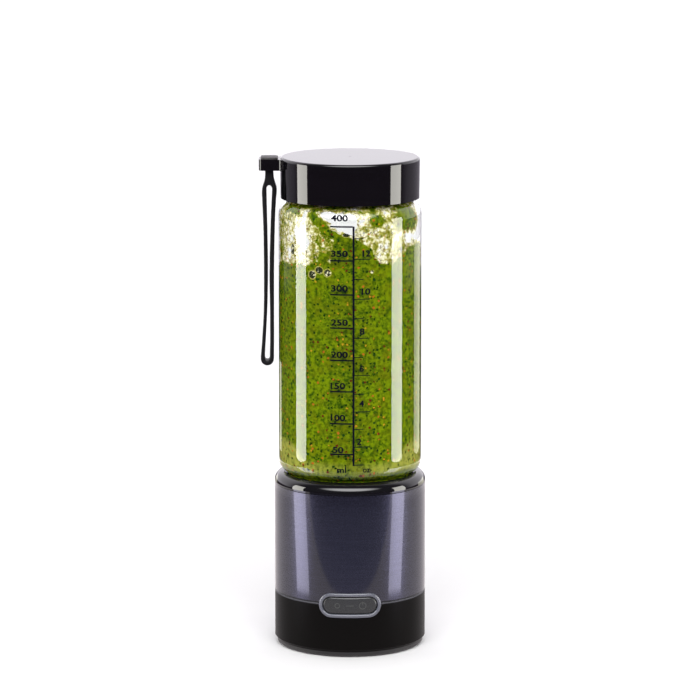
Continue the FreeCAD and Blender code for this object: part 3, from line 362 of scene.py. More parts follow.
def makeSpeckGroup():  # scattered irregular specks, as a mask
    group, inlets, outlets = startGroup(
        "foodSpecks", {"Scale": 400.0, "Size": 0.25, "Share": 0.2, "Offset": 0.0}, {"Mask": 0.0})
    place = objectPlace(group)
    wobble = addNoise(group, place, speckShape["wobbleScale"], detail=1.0)["Color"]
    entries = {0: wobble, 1: speckShape["wobble"], 2: place}
    bent = addNode(group, "VectorMath", entries, operation="MULTIPLY_ADD")
    apart = addNode(group, "VectorMath", {0: bent.outputs[0], 1: inlets["Offset"]}, operation="ADD")
    cells = addNode(group, "TexVoronoi", {"Vector": apart.outputs[0], "Scale": inlets["Scale"]}, feature="F1")
    chance = addNode(group, "SeparateColor", {0: cells.outputs["Color"]})
    wide = multiply(group, inlets["Size"], speckShape["softEdge"])
    near = ramp(group, cells.outputs["Distance"], inlets["Size"], wide, 1.0, 0.0)
    chosen = calculate(group, "LESS_THAN", chance.outputs[0], inlets["Share"])
    connect(group, multiply(group, near, chosen), outlets["Mask"])
    return group


groups = {"grain": makeGrainGroup(), "tone": makeToneGroup(), "specks": makeSpeckGroup()}


def useGroup(tree, name, **values):
    return addNode(tree, "Group", values, node_tree=groups[name]).outputs


# materials
def startMaterial(name, color, roughness, metallic=0.0, toneAmount=0.15, toneScale=60.0):
    material = bpy.data.materials.new(name)
    material.use_nodes = True
    tree = material.node_tree
    shader = tree.nodes["Principled BSDF"]
    tone = useGroup(tree, "tone", Color=color, Amount=toneAmount, Scale=toneScale)["Color"]
    feedAll(tree, shader, {"Base Color": tone, "Roughness": roughness, "Metallic": metallic})
    return material, tree, shader


def baseColor(shader):  # what feeds the colour so far
    return shader.inputs["Base Color"].links[0].from_socket


def addGrain(tree, shader, scale, height, roughLow, roughHigh):
    grain = useGroup(tree, "grain", Scale=scale)
    bump = addNode(tree, "Bump", {"Distance": height, "Height": grain["Height"]})
    rough = ramp(tree, grain["Mask"], 0.0, 1.0, roughLow, roughHigh, "LINEAR")
    feedAll(tree, shader, {"Normal": bump.outputs["Normal"], "Roughness": rough})
    return grain


roughSpread = (0.8, 1.2)  # the shares of a plain finish's roughness that its grain runs between


def makePlain(name, color, roughness, metallic=0.0, scale=1500.0, height=0.002 * mm, gloss=0.5):
    material, tree, shader = startMaterial(name, color, roughness, metallic)
    addGrain(tree, shader, scale, height, roughness * roughSpread[0], roughness * roughSpread[1])
    feedAll(tree, shader, {"Specular IOR Level": gloss})
    return material


def makeGlossBlack():
    material, tree, shader = startMaterial("glossBlack", (0.0035, 0.0032, 0.0042), 0.05)
    addGrain(tree, shader, 900.0, 0.0006 * mm, 0.03, 0.055)
    feedAll(tree, shader, {"IOR": 1.52})
    return material


seamPaintedLight = {  # between sleeve and housing: a painted highlight along the housing's top edge under it, and a painted shade line on the sleeve over it
    "z": 26.2 * mm, "edge": 0.9 * mm, "highlightFull": 0.36 * mm, "shade": 0.9 * mm, "shadeFull": 0.54 * mm,
    "light": (0.085, 0.085, 0.095),
}


def makeHousingBlack():  # the lower housing is duller than the lid; a painted highlight lightens the colour along its upper edge
    material, tree, shader = startMaterial("housingBlack", (0.0036, 0.0032, 0.0030), 0.34)
    addGrain(tree, shader, 1400.0, 0.0012 * mm, 0.30, 0.38)
    height = splitPlace(tree, objectPlace(tree))["Z"]
    # painted highlight: the colour turns light in a thin band along the housing's top edge, under the seam
    edge = ramp(tree, height, seamPaintedLight["z"] - seamPaintedLight["edge"], seamPaintedLight["z"] - seamPaintedLight["highlightFull"])
    color = mixColors(tree, edge, baseColor(shader), seamPaintedLight["light"])
    feedAll(tree, shader, {"Base Color": color, "Specular IOR Level": 0.05})
    return material


sleeveFinish = {
    "color": (0.037, 0.037, 0.055), "tint": (0.6, 0.6, 0.65),
    "grainScale": 3000.0, "grainHeight": 0.0022 * mm, "roughness": (0.26, 0.34),
    "flake": (0.78, 1.24),                  # the darkest and lightest grain
    "brushScale": (70.0, 70.0, 2600.0), "brushed": (0.3, 0.7, 0.88, 1.12),
    "footShade": 0.15,                      # the colour's share in the painted shade line over the seam
    "coat": 0.05,                           # roughness of the clear coat
}


def makeSleeveMetal():  # dark painted metal, finely brushed round, with a little flake under a clear coat; a painted shade line darkens its foot over the seam
    sleeve = sleeveFinish
    material, tree, shader = startMaterial("sleeveMetal", sleeve["color"], 0.3, 1.0, 0.1, 30.0)
    grain = addGrain(tree, shader, sleeve["grainScale"], sleeve["grainHeight"], *sleeve["roughness"])
    place = objectPlace(tree)
    stretched = addNode(tree, "Mapping", {"Vector": place, "Scale": sleeve["brushScale"]})
    lines = addNoise(tree, stretched.outputs[0], 1.0, detail=3.0)["Fac"]
    # painted shade: the colour darkens in a thin line just over the seam
    shadeFoot, shadeTop = seamPaintedLight["z"] + seamPaintedLight["shadeFull"], seamPaintedLight["z"] + seamPaintedLight["shade"]
    gain = multiply(
        tree, ramp(tree, grain["Mask"], 0.0, 1.0, *sleeve["flake"]),
        ramp(tree, lines, *sleeve["brushed"]),
        ramp(tree, splitPlace(tree, place)["Z"], shadeFoot, shadeTop, sleeve["footShade"], 1.0))
    feedAll(tree, shader, {
        "Base Color": scaleColor(tree, baseColor(shader), gain), "Specular Tint": sleeve["tint"],
        "Coat Weight": 1.0, "Coat Roughness": sleeve["coat"], "Coat IOR": 1.5})
    return material


def makeHeadRough():  # the strap's head, grey and uneven from the mould
    material, tree, shader = startMaterial("strapHeadRough", (0.035, 0.032, 0.033), 0.5, 0.0, 1.2, 420.0)
    addGrain(tree, shader, 900.0, 0.06 * mm, 0.45, 0.7)
    return material


def makeJarGlass():  # shadows and soft light pass straight through
    material, tree, shader = startMaterial("jarClear", (0.975, 0.99, 0.972), 0.0, toneAmount=0.01)
    feedAll(tree, shader, {"Transmission Weight": 1.0, "IOR": 1.56})
    clear = addNode(tree, "BsdfTransparent").outputs[0]
    rays = addNode(tree, "LightPath").outputs
    surface = shader.outputs[0]
    for ray in ("Is Shadow Ray", "Is Diffuse Ray"):
        surface = mixShaders(tree, rays[ray], surface, clear)
    connect(tree, surface, tree.nodes["Material Output"].inputs["Surface"])
    return material


drinkColors = {
    "deep": (0.032, 0.076, 0.0004), "light": (0.170, 0.252, 0.0012), "olive": (0.140, 0.150, 0.001),
    # pale: the colour of the painted light band low in the jar
    "pale": (0.42, 0.42, 0.075),
    "foamGreen": (0.16, 0.19, 0.008), "foamYellow": (0.42, 0.40, 0.075), "foamCream": (0.80, 0.78, 0.50),
    # bubble: painted shade inside the air bubbles
    "foamWhite": (0.95, 0.95, 0.86), "foamEdge": (0.16, 0.13, 0.012), "bubble": (0.022, 0.028, 0.012),
}
drinkSpecks = (  # colour, cells per metre, size in a cell, share of the cells
    ((0.006, 0.030, 0.002), 620.0, 0.30, 0.30),
    ((0.010, 0.045, 0.004), 430.0, 0.24, 0.14),
    ((0.46, 0.115, 0.012), 430.0, 0.21, 0.16),
    ((0.11, 0.014, 0.005), 460.0, 0.23, 0.13),
    ((0.55, 0.27, 0.015), 480.0, 0.20, 0.13),
)
speckStep = 0.37  # moves each kind of speck away from the others
drinkNoise = {    # scale, detail and roughness
    "fine": (620.0, 4.0, 0.62), "slow": (170.0, 2.0), "ragged": (700.0, 3.0, 0.6),
    "churn": (620.0, 4.0, 0.68), "patches": (260.0, 2.0),
}
drinkMix = {      # where one colour gives way to the next
    "light": (0.36, 0.62), "olive": (0.4, 0.75, 0.0, 0.55), "foam": (0.47, 0.53), "lace": 0.95,
    "specksInFoam": 0.55, "bubbleRim": (0.34, 0.40), "bubble": (0.48, 0.54), "bubbleLace": 0.35,
    "bubbleGleam": (0.55, 0.64),
}
foamMix = {
    "steps": (("foamYellow", 0.36, 0.46), ("foamCream", 0.47, 0.56), ("foamWhite", 0.58, 0.68)),
    "coverGain": 0.45, "coverMiddle": 0.7,
    "cells": 560.0, "wall": (0.03, 0.12, 0.85, 0.0), "patches": (0.45, 0.6),
}
# painted light: a pale, mottled band low in the drink where the glass's lower shoulder brightens it, paler
# towards the sides
paintedPaleBand = {
    "top": 94.5 * mm, "full": 90.6 * mm, "foot": 88.6 * mm, "end": 86.8 * mm,
    "wide": 27.0 * mm, "share": (0.22, 0.74), "mottle": (0.3, 0.6, 0.45, 1.0),
    "rise": 8.5 * mm, "riseFrom": 19.0 * mm, "riseTo": 28.5 * mm,   # it climbs towards the sides
}


def drinkPattern(tree, place, name):
    return addNoise(tree, place, *drinkNoise[name])["Fac"]


def paleShare(tree, place, fine):  # where a pale band of painted light lies low in the jar, paler towards its sides, standing for how the glass's lower shoulder brightens the drink
    band = paintedPaleBand
    across, _, height = splitPlace(tree, place)
    aside = calculate(tree, "ABSOLUTE", across)
    climb = ramp(tree, aside, band["riseFrom"], band["riseTo"], 0.0, band["rise"])
    lowered = calculate(tree, "SUBTRACT", height, climb)
    return multiply(
        tree, ramp(tree, lowered, band["full"], band["top"], 1.0, 0.0),
        ramp(tree, height, band["end"], band["foot"]),
        ramp(tree, aside, 0.0, band["wide"], *band["share"]), ramp(tree, fine, *band["mottle"]))


def makeFoamColor(tree, place, cover):  # froth from green to white, with dark bubble walls
    churn = drinkPattern(tree, place, "churn")
    churn = vary(tree, churn, cover, foamMix["coverGain"], foamMix["coverMiddle"])
    foam = drinkColors["foamGreen"]
    for label, low, high in foamMix["steps"]:
        foam = mixColors(tree, ramp(tree, churn, low, high), foam, drinkColors[label])
    entries = {"Vector": place, "Scale": foamMix["cells"]}
    bubbles = addNode(tree, "TexVoronoi", entries, feature="DISTANCE_TO_EDGE")
    patches = drinkPattern(tree, place, "patches")
    wall = ramp(tree, bubbles.outputs["Distance"], *foamMix["wall"])
    wall = multiply(tree, wall, ramp(tree, patches, *foamMix["patches"]))
    return mixColors(tree, wall, foam, drinkColors["foamEdge"])


def makeDrink():  # thick green drink; the mesh's foam and bubble attributes turn it to foam and to air bubbles whose insides are painted shade with painted gleams
    tints, mix = drinkColors, drinkMix
    material, tree, shader = startMaterial("greenDrink", tints["olive"], 0.4, toneAmount=0.5, toneScale=140.0)
    place = objectPlace(tree)
    fine, slow, ragged = (drinkPattern(tree, place, name) for name in ("fine", "slow", "ragged"))
    color = mixColors(tree, ramp(tree, fine, *mix["light"]), tints["deep"], tints["light"])
    color = mixColors(tree, ramp(tree, slow, *mix["olive"]), color, baseColor(shader))
    # painted light: the pale band low in the jar
    color = mixColors(tree, paleShare(tree, place, fine), color, tints["pale"])
    cover = addNode(tree, "Attribute", attribute_name="foam").outputs["Fac"]
    foamy = ramp(tree, vary(tree, cover, ragged, mix["lace"]), *mix["foam"])
    color = mixColors(tree, foamy, color, makeFoamColor(tree, place, cover))
    bare = ramp(tree, foamy, 0.0, 1.0, 1.0, mix["specksInFoam"])
    for order, (speckColor, scale, size, share) in enumerate(drinkSpecks):
        specks = useGroup(tree, "specks", Scale=scale, Size=size, Share=share, Offset=order * speckStep)
        color = mixColors(tree, multiply(tree, specks["Mask"], bare), color, speckColor)
    bubble = addNode(tree, "Attribute", attribute_name="bubble").outputs["Fac"]
    bubble = vary(tree, bubble, ragged, mix["bubbleLace"])
    color = mixColors(tree, ramp(tree, bubble, *mix["bubbleRim"]), color, tints["foamYellow"])
    # painted shade inside the bubbles, broken here and there by painted cream gleams
    bubbleShadeAndGleam = mixColors(tree, ramp(tree, ragged, *mix["bubbleGleam"]), tints["bubble"], tints["foamCream"])
    color = mixColors(tree, ramp(tree, bubble, *mix["bubble"]), color, bubbleShadeAndGleam)
    feedAll(tree, shader, {"Base Color": color, "Specular IOR Level": 0.0})
    return material


# slots with a plain finish: colour, roughness, metallic, the grain's scale and height, gloss
plainFinishes = {
    "strap_silicone": ((0.0045, 0.004, 0.005), 0.5, 0.0, 1800.0, 0.004 * mm, 0.22),
    "seal_silicone": ((0.62, 0.64, 0.66), 0.5),
    "button_ring": ((0.105, 0.11, 0.135), 0.22, 0.0, 4500.0, 0.0002 * mm, 0.75),
    "button_dark": ((0.024, 0.025, 0.026), 0.24, 0.0, 4500.0, 0.0001 * mm, 0.5),
    "foot_rubber": ((0.010, 0.010, 0.011), 0.7),
    "blade_steel": ((0.62, 0.62, 0.63), 0.22, 1.0),
    "screw_steel": ((0.55, 0.55, 0.56), 0.3, 1.0),
    "bearing_steel": ((0.6, 0.6, 0.61), 0.18, 1.0),
    "coupler_plastic": ((0.7, 0.69, 0.66), 0.45),
    "frame_plastic": ((0.008, 0.008, 0.009), 0.45),
    "motor_steel": ((0.5, 0.5, 0.52), 0.35, 1.0),
    "armature_copper": ((0.72, 0.34, 0.16), 0.3, 1.0),
    "magnet": ((0.03, 0.03, 0.03), 0.6),
    "cell_wrap": ((0.03, 0.11, 0.24), 0.3),
    "nickel": ((0.62, 0.6, 0.56), 0.28, 1.0),
    "board_green": ((0.01, 0.09, 0.03), 0.4),
    "led_lens": ((0.8, 0.82, 0.85), 0.25),
}


def camelName(slotName):
    first, *others = slotName.split("_")
    return first + "".join(word.title() for word in others)


materials = {"gloss_black": makeGlossBlack(), "clear_jar": makeJarGlass(), "sleeve_metal": makeSleeveMetal()}
for plainSlot, plainFinish in plainFinishes.items():
    materials[plainSlot] = makePlain(camelName(plainSlot), *plainFinish)
housingMaterial = makeHousingBlack()
headMaterial = makeHeadRough()
drinkMaterial = makeDrink()
inkMaterial = makePlain("scaleInk", (0.002, 0.002, 0.009), 0.5, 0.0, 2000.0, 0.001 * mm, 0.08)
markMaterial = makePlain("buttonMark", (0.060, 0.063, 0.060), 0.5, 0.0, 1500.0, 0.001 * mm, 0.3)


def dressFrame():  # every solid of the frame takes its slot's finish
    for name, slotName in slots.items():
        piece = nodes[name]
        piece.data.materials.clear()
        piece.data.materials.append(housingMaterial if name == "lower_housing" else materials[slotName])
    print("frame dressed:", len(slots), "nodes")


# small helpers for meshes
def smoothShare(value, low, high):
    share = min(max((value - low) / (high - low), 0.0), 1.0)
    return share * share * (3 - 2 * share)


def meshFrom(shape, name):
    mesh = bpy.data.meshes.new(name)
    shape.to_mesh(mesh)
    shape.free()
    return mesh


def finishPiece(shape, name, body, material, sharpAngle):
    mesh = meshFrom(shape, name)
    for face in mesh.polygons:
        face.use_smooth = True
    mesh.set_sharp_from_angle(angle=math.radians(sharpAngle))
    mesh.materials.append(material)
    piece = addObject(name, mesh)
    if body:
        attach(piece, body)
    return piece


def cutAcross(shape, place, normal):
    everything = shape.verts[:] + shape.edges[:] + shape.faces[:]
    bmesh.ops.bisect_plane(shape, geom=everything, plane_co=place, plane_no=normal)


def roundEdges(shape, edges, reach):
    bmesh.ops.bevel(shape, geom=edges, offset=reach[0] * mm, segments=reach[1], profile=0.5, affect="EDGES",
                    material=-1)


def extrudeAll(shape):  # a second layer over every face; its own verts are returned
    made = bmesh.ops.extrude_face_region(shape, geom=shape.faces[:])["geom"]
    return [item for item in made if isinstance(item, bmesh.types.BMVert)]


def closeLoop(shape, verts):
    return [shape.edges.new((verts[index - 1], verts[index])) for index in range(len(verts))]


def arcPoints(middle, radius, first, last, count):  # degrees, from first to last
    points = []
    for step in range(count + 1):
        angle = math.radians(first + (last - first) * step / count)
        points.append((middle[0] + radius * math.cos(angle), middle[1] + radius * math.sin(angle)))
    return points


def spinOutline(points, steps, closed=True):  # points are (radius, height)
    shape = bmesh.new()
    verts = [shape.verts.new((radius * mm, 0, height * mm)) for radius, height in points]
    edges = [shape.edges.new(pair) for pair in zip(verts, verts[1:])]
    if closed:
        edges.append(shape.edges.new((verts[-1], verts[0])))
    bmesh.ops.spin(shape, geom=verts + edges, cent=(0, 0, 0), axis=(0, 0, 1), angle=math.tau,
                   steps=steps, use_merge=True)
    bmesh.ops.remove_doubles(shape, verts=shape.verts, dist=0.001 * mm)
    bmesh.ops.recalc_face_normals(shape, faces=shape.faces)
    return shape


# jar
jarShape = {
    "radius": 33.85, "wall": 2.0,
    "lowRim": 75.0, "highRim": 230.4,
    "lowNeck": 28.6, "highNeck": 28.9,
    "lowShoulder": 6.0, "lowShoulderZ": 89.5,
    "highShoulder": 8.5, "highShoulderZ": 207.0,
    "rimRound": 0.4,
    "support": 0.5,             # rows this close to the shoulders keep the straight wall straight to the eye
    "threadLead": 9.0, "threadStarts": 3, "threadTurns": 0.5, "threadDepth": 1.0,
    "threadRoot": 0.65, "threadCrest": 0.35, "threadRow": 0.35,
    "lowRows": 21, "highRows": 42, "threadFade": 0.15,
    "lowThreadZ": 76.6, "highThreadZ": 221.4,
    "steps": 192,
}


def shoulders():  # middles of the two shoulder arcs, as (radius, height)
    jar = jarShape
    low = (jar["radius"] - jar["lowShoulder"], jar["lowShoulderZ"])
    high = (jar["radius"] - jar["highShoulder"], jar["highShoulderZ"])
    return low, high


def shoulderArc(middle, radius, reach, way, count):  # from the straight wall to a distance from the axis
    turn = math.degrees(math.acos((reach - middle[0]) / radius))
    return arcPoints(middle, radius, 0, way * turn, count)


def jarOutline():
    jar = jarShape
    low, high = shoulders()
    wall, rim, row = jar["wall"], jar["rimRound"], jar["threadRow"]
    lowBore, highBore = jar["lowNeck"] - wall, jar["highNeck"] - wall
    ends = (jar["lowShoulderZ"] + jar["support"], jar["highShoulderZ"] - jar["support"])
    bottom, top = jar["lowRim"] + rim, jar["highRim"] - rim
    points = arcPoints((jar["lowNeck"] - rim, bottom), rim, -90, 0, 4)
    points += [(jar["lowNeck"], bottom + row * step) for step in range(1, jar["lowRows"] + 1)]
    points += reversed(shoulderArc(low, jar["lowShoulder"], jar["lowNeck"], -1, 16))
    points += [(jar["radius"], height) for height in ends]
    points += shoulderArc(high, jar["highShoulder"], jar["highNeck"], 1, 20)
    points += [(jar["highNeck"], top - row * step) for step in range(jar["highRows"], 0, -1)]
    points += arcPoints((jar["highNeck"] - rim, top), rim, 0, 90, 4)
    points += arcPoints((highBore + rim, top), rim, 90, 180, 4)
    points += reversed(shoulderArc(high, jar["highShoulder"] - wall, highBore, 1, 18))
    points += [(jar["radius"] - wall, height) for height in reversed(ends)]
    points += shoulderArc(low, jar["lowShoulder"] - wall, lowBore, -1, 12)
    points += arcPoints((lowBore + rim, bottom), rim, 180, 270, 4)
    return points


def raiseThread(shape, neck, startZ):  # ridges on a neck's outer wall, thinning out at their ends
    jar = jarShape
    span = jar["threadTurns"] * math.tau
    for vert in shape.verts:
        if abs(math.hypot(vert.co.x, vert.co.y) - neck * mm) > 0.01 * mm:
            continue
        angle = math.atan2(vert.co.y, vert.co.x)
        for start in range(jar["threadStarts"]):
            turn = (angle - start * math.tau / jar["threadStarts"]) % math.tau
            away = abs(vert.co.z / mm - startZ - jar["threadLead"] * turn / math.tau)
            rise = (jar["threadRoot"] - away) / (jar["threadRoot"] - jar["threadCrest"])
            if turn < span and rise > 0:
                ending = min(turn, span - turn, jar["threadFade"]) / jar["threadFade"]
                lift = 1 + jar["threadDepth"] * min(rise, 1) * ending / neck
                vert.co.x *= lift
                vert.co.y *= lift
                break


def makeJar():
    shape = spinOutline(jarOutline(), jarShape["steps"])
    raiseThread(shape, jarShape["lowNeck"], jarShape["lowThreadZ"])
    raiseThread(shape, jarShape["highNeck"], jarShape["highThreadZ"])
    jar = finishPiece(shape, "jarShell", "jar", materials["clear_jar"], 60)
    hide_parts("jar")
    print("jar made")


# scale printed on the jar
scalePrint = {
    "barX": 2.3, "barWidth": 0.92, "barTop": 206.0, "barBottom": 92.4,
    "mlStart": -8.8, "mlWidth": 0.72,
    "ozWidth": 0.42, "ozLong": 10.1, "ozShort": 7.0,
    "digitHeight": 3.1, "bold": 0.03, "curveSteps": 4,
    "shift": -0.65,             # the whole print, sideways
    "bend": 0.5,                # cuts this far apart let it follow the round wall
    "flatAngle": 0.5, "proud": 0.02, "thick": 0.02,
}
mlLines = (   # number, its line, and the number's left, right and foot
    (400, 205.78, -8.35, -0.33, 208.32), (350, 189.80, -8.35, -0.33, 191.55),
    (300, 173.76, -8.35, -0.33, 175.19), (250, 157.97, -8.35, -0.33, 159.11),
    (200, 142.65, -8.35, -0.33, 143.85), (150, 127.81, -8.59, -1.59, 128.96),
    (100, 112.50, -8.59, -1.59, 113.80), (50, 97.86, -7.63, -2.43, 98.41),
)
ozLines = (   # even lines with a number, and the same sizes
    (12, 190.51, 6.48, 10.34, 191.69), (10, 171.69, 6.05, 10.24, 173.73), (8, 153.19, 5.25, 7.53, 154.85),
    (6, 135.53, 5.06, 7.20, 137.29), (4, 118.19, 5.01, 7.29, 120.63), (2, 101.38, 3.88, 6.05, 102.43),
)
ozOdd = (200.25, 181.09, 162.52, 144.13, 126.68, 109.89, 92.80)
unitWords = (("ml", -5.49, -1.12, 89.06, 2.8275), ("oz", 6.67, 10.24, 89.06, 1.95))   # and their heights


def addText(shape, words, left, right, foot, height):  # words fill the space from left to right
    curve = bpy.data.curves.new("words", "FONT")
    curve.body = words
    curve.offset = scalePrint["bold"]
    curve.resolution_u = scalePrint["curveSteps"]
    holder = bpy.data.objects.new("words", curve)
    mesh = bpy.data.meshes.new_from_object(holder)
    before = set(shape.verts)
    shape.from_mesh(mesh)
    fresh = [vert for vert in shape.verts if vert not in before]
    low = Vector([min(vert.co[axis] for vert in fresh) for axis in range(2)])
    high = Vector([max(vert.co[axis] for vert in fresh) for axis in range(2)])
    wide, tall = (right - left) / (high.x - low.x), height / (high.y - low.y)
    bmesh.ops.translate(shape, vec=(-low.x, -low.y, 0), verts=fresh)
    bmesh.ops.scale(shape, vec=(wide, tall, 1), verts=fresh)
    bmesh.ops.translate(shape, vec=(left, foot, 0), verts=fresh)
    bpy.data.objects.remove(holder)
    bpy.data.curves.remove(curve)
    bpy.data.meshes.remove(mesh)


def addStroke(shape, left, right, bottom, top):  # a flat bar, cut across so that it can bend
    count = max(1, round((right - left) / scalePrint["bend"]))
    made = bmesh.ops.create_grid(shape, x_segments=count, y_segments=1, size=0.5)["verts"]
    bmesh.ops.scale(shape, vec=(right - left, top - bottom, 1), verts=made)
    bmesh.ops.translate(shape, vec=((left + right) / 2, (top + bottom) / 2, 0), verts=made)


def thicken(shape, thickness):  # gives a flat sign its thickness, outwards
    bmesh.ops.remove_doubles(shape, verts=shape.verts, dist=0.0005 * mm)
    for face in shape.faces:
        if face.normal.y > 0:
            face.normal_flip()
    for vert in extrudeAll(shape):
        vert.co += Vector((vert.co.x, vert.co.y, 0)).normalized() * thickness * mm
    bmesh.ops.recalc_face_normals(shape, faces=shape.faces)


def makeScale():
    ink = scalePrint
    shape = bmesh.new()
    barLeft, barRight = ink["barX"] - ink["barWidth"] / 2, ink["barX"] + ink["barWidth"] / 2
    addStroke(shape, barLeft, barRight, ink["barBottom"], ink["barTop"])
    mlHalf, ozHalf = ink["mlWidth"] / 2, ink["ozWidth"] / 2
    sides = ((mlLines, ink["mlStart"], barLeft, mlHalf), (ozLines, barRight, ink["ozLong"], ozHalf))
    for lines, start, end, half in sides:
        for number, line, left, right, foot in lines:
            addStroke(shape, start, end, line - half, line + half)
            addText(shape, str(number), left, right, foot, ink["digitHeight"])
    for line in ozOdd:
        addStroke(shape, barRight, ink["ozShort"], line - ozHalf, line + ozHalf)
    for place in unitWords:
        addText(shape, *place)
    cut = ink["mlStart"]
    while cut < ink["ozLong"]:
        cutAcross(shape, (cut, 0, 0), (1, 0, 0))
        cut += ink["bend"]
    radius = jarShape["radius"] + ink["proud"]
    for vert in shape.verts:
        turn = (vert.co.x + ink["shift"]) / radius
        vert.co = Vector((radius * math.sin(turn), -radius * math.cos(turn), vert.co.y)) * mm
    thicken(shape, ink["thick"])
    finishPiece(shape, "volumeScale", "jar", inkMaterial, ink["flatAngle"])
    print("scale printed")


# drink in the jar
drinkShape = {
    "reach": 0.03,              # the drink wets the jar's wall: it stands this far into it
    "frontLevel": 184.0, "backLevel": 180.5, "dip": 5.0, "lumps": 1.2, "lumpScale": 0.11,
    "bladeRoom": 21.3, "bladeRoomTop": 96.5, "bottom": 75.4,
    "wallRows": (110.0, 130.0, 150.0, 170.0), "topRings": 16, "steps": 180,
    "filmReach": 0.05, "filmBottom": 179.0, "filmRow": 0.56, "filmSteps": 400, "filmThickness": 0.25,
    "neckRow": 0.8, "neckRows": 6, "clearAbove": 0.96, "rimSmoothing": 3,
}
foamShape = {
    "front": 8.0,               # the front's foam is complete this far forward
    "ragged": (0, 0.16, 4), "lumpy": (90, 0.45, 2),   # the patterns' lift, scale and octaves
    "streakScales": (0.12, 0.12, 0.7), "streaksFrom": 211.0, "streaksFull": 213.5, "streaks": (0.55, 0.8),
    "footLumps": 1.2, "footSoft": 1.6, "pale": (0.69, 0.26, 0.16), "patches": 0.55,
    "behind": (181.0, 185.0), "behindPale": (1.5, 0.5),
}
# where the foam ends on the front of the wall, as places across and their heights
foamFoot = (
    (-34.0, 185.3), (-25.3, 186.0), (-9.2, 187.6), (-7.4, 200.0), (-3.9, 198.9), (2.8, 199.6), (6.1, 197.8),
    (10.9, 193.8), (11.6, 190.0), (15.6, 186.7), (21.0, 186.8), (25.0, 189.5), (28.0, 193.5), (34.0, 195.0),
)
# patches on the front, clear (over 0) or green (under 0): across, height, half sizes, strength
foamPatches = (
    (-4.5, 207.6, 5.2, 3.4, 1.6), (-11.0, 209.8, 4.4, 1.5, 1.3), (0.3, 205.0, 2.6, 3.4, 1.4),
    (6.5, 208.8, 4.0, 2.6, 0.55), (-22.5, 200.0, 3.2, 11.0, 0.9), (-27.6, 200.0, 2.4, 9.0, 0.35),
    (29.3, 199.0, 4.0, 2.6, 1.0), (32.9, 203.0, 1.0, 10.0, 1.3), (16.5, 192.0, 3.4, 4.0, 0.45),
    (-13.5, 194.5, 5.5, 8.5, -0.34), (-8.5, 191.0, 3.0, 4.0, -0.2),
    (-31.8, 200.0, 2.0, 12.0, -0.35), (-27.0, 211.5, 2.6, 3.0, -1.1),
    (-18.3, 209.6, 2.0, 1.8, -1.2), (-15.5, 207.6, 2.6, 1.8, -1.3), (-12.0, 204.6, 2.8, 1.9, -1.4),
    (-8.5, 202.0, 2.6, 1.8, -1.4), (-5.6, 200.4, 1.8, 1.5, -1.2), (-2.6, 200.8, 2.0, 1.1, -1.2),
    (13.7, 207.6, 3.0, 2.4, -1.2), (27.8, 207.3, 3.4, 5.0, -1.4), (24.9, 196.0, 1.2, 5.0, -0.4),
)
wallBubbles = (  # air bubbles on the wall, their insides darkened with painted shade: across, height, half sizes
    (-18.3, 182.4, 1.9, 2.3), (-14.9, 184.8, 2.2, 1.9), (-10.9, 183.7, 2.0, 2.1), (-27.6, 193.0, 0.9, 3.4),
    (10.7, 184.3, 1.0, 0.9), (-1.8, 201.8, 2.2, 1.3), (24.6, 193.5, 1.0, 2.0),
)


def drinkWall():
    return jarShape["radius"] - jarShape["wall"] + drinkShape["reach"]


def drinkLevel(place):  # height of the drink's top over a place, in millimetres
    drink = drinkShape
    across, deep = place.x / mm, place.y / mm
    wall = drinkWall()
    tilt = (drink["frontLevel"] - drink["backLevel"]) * (1 - deep / wall) / 2
    bowl = drink["dip"] * (1 - min(math.hypot(across, deep) / wall, 1) ** 2)
    lumps = noise.fractal(Vector((across, deep, 0)) * drink["lumpScale"], 1.0, 2.0, 3)
    return drink["backLevel"] + tilt - bowl + lumps * drink["lumps"]


def makeDrinkBody():
    jar, drink = jarShape, drinkShape
    wall = drinkWall()
    low, _ = shoulders()
    lowInner = jar["lowShoulder"] - jar["wall"] + drink["reach"]
    neck = jar["lowNeck"] - jar["wall"] + drink["reach"]
    points = [(0.0, drink["bladeRoomTop"]), (drink["bladeRoom"], drink["bladeRoomTop"]),
              (drink["bladeRoom"], drink["bottom"]), (neck, drink["bottom"])]
    points += reversed(shoulderArc(low, lowInner, neck, -1, 12))
    points += [(wall, height) for height in (*drink["wallRows"], drink["frontLevel"])]
    rings = drink["topRings"]
    points += [(wall * (1 - step / rings), drink["frontLevel"]) for step in range(1, rings + 1)]
    shape = spinOutline(points, drink["steps"], closed=False)
    for vert in shape.verts:
        if vert.co.z > (drink["frontLevel"] - 0.1) * mm:
            vert.co.z = drinkLevel(vert.co) * mm
    finishPiece(shape, "smoothieBody", "jar", drinkMaterial, 50)


def foamFootAt(across):
    for (left, first), (right, second) in zip(foamFoot, foamFoot[1:]):
        if across <= right:
            share = max(across - left, 0.0) / (right - left)
            return first + (second - first) * share
    return foamFoot[-1][1]


def wallPlace(place):  # across, deep and height in millimetres, and how far across it is on the jar's front
    across, deep, height = (value / mm for value in place)
    return across, deep, height, jarShape["radius"] * math.sin(math.atan2(across, -deep))


def spotAt(seen, height, middle, lift, wide, tall):  # 1 in the middle of a spot, less around it
    return math.exp(-((seen - middle) / wide) ** 2 - ((height - lift) / tall) ** 2)


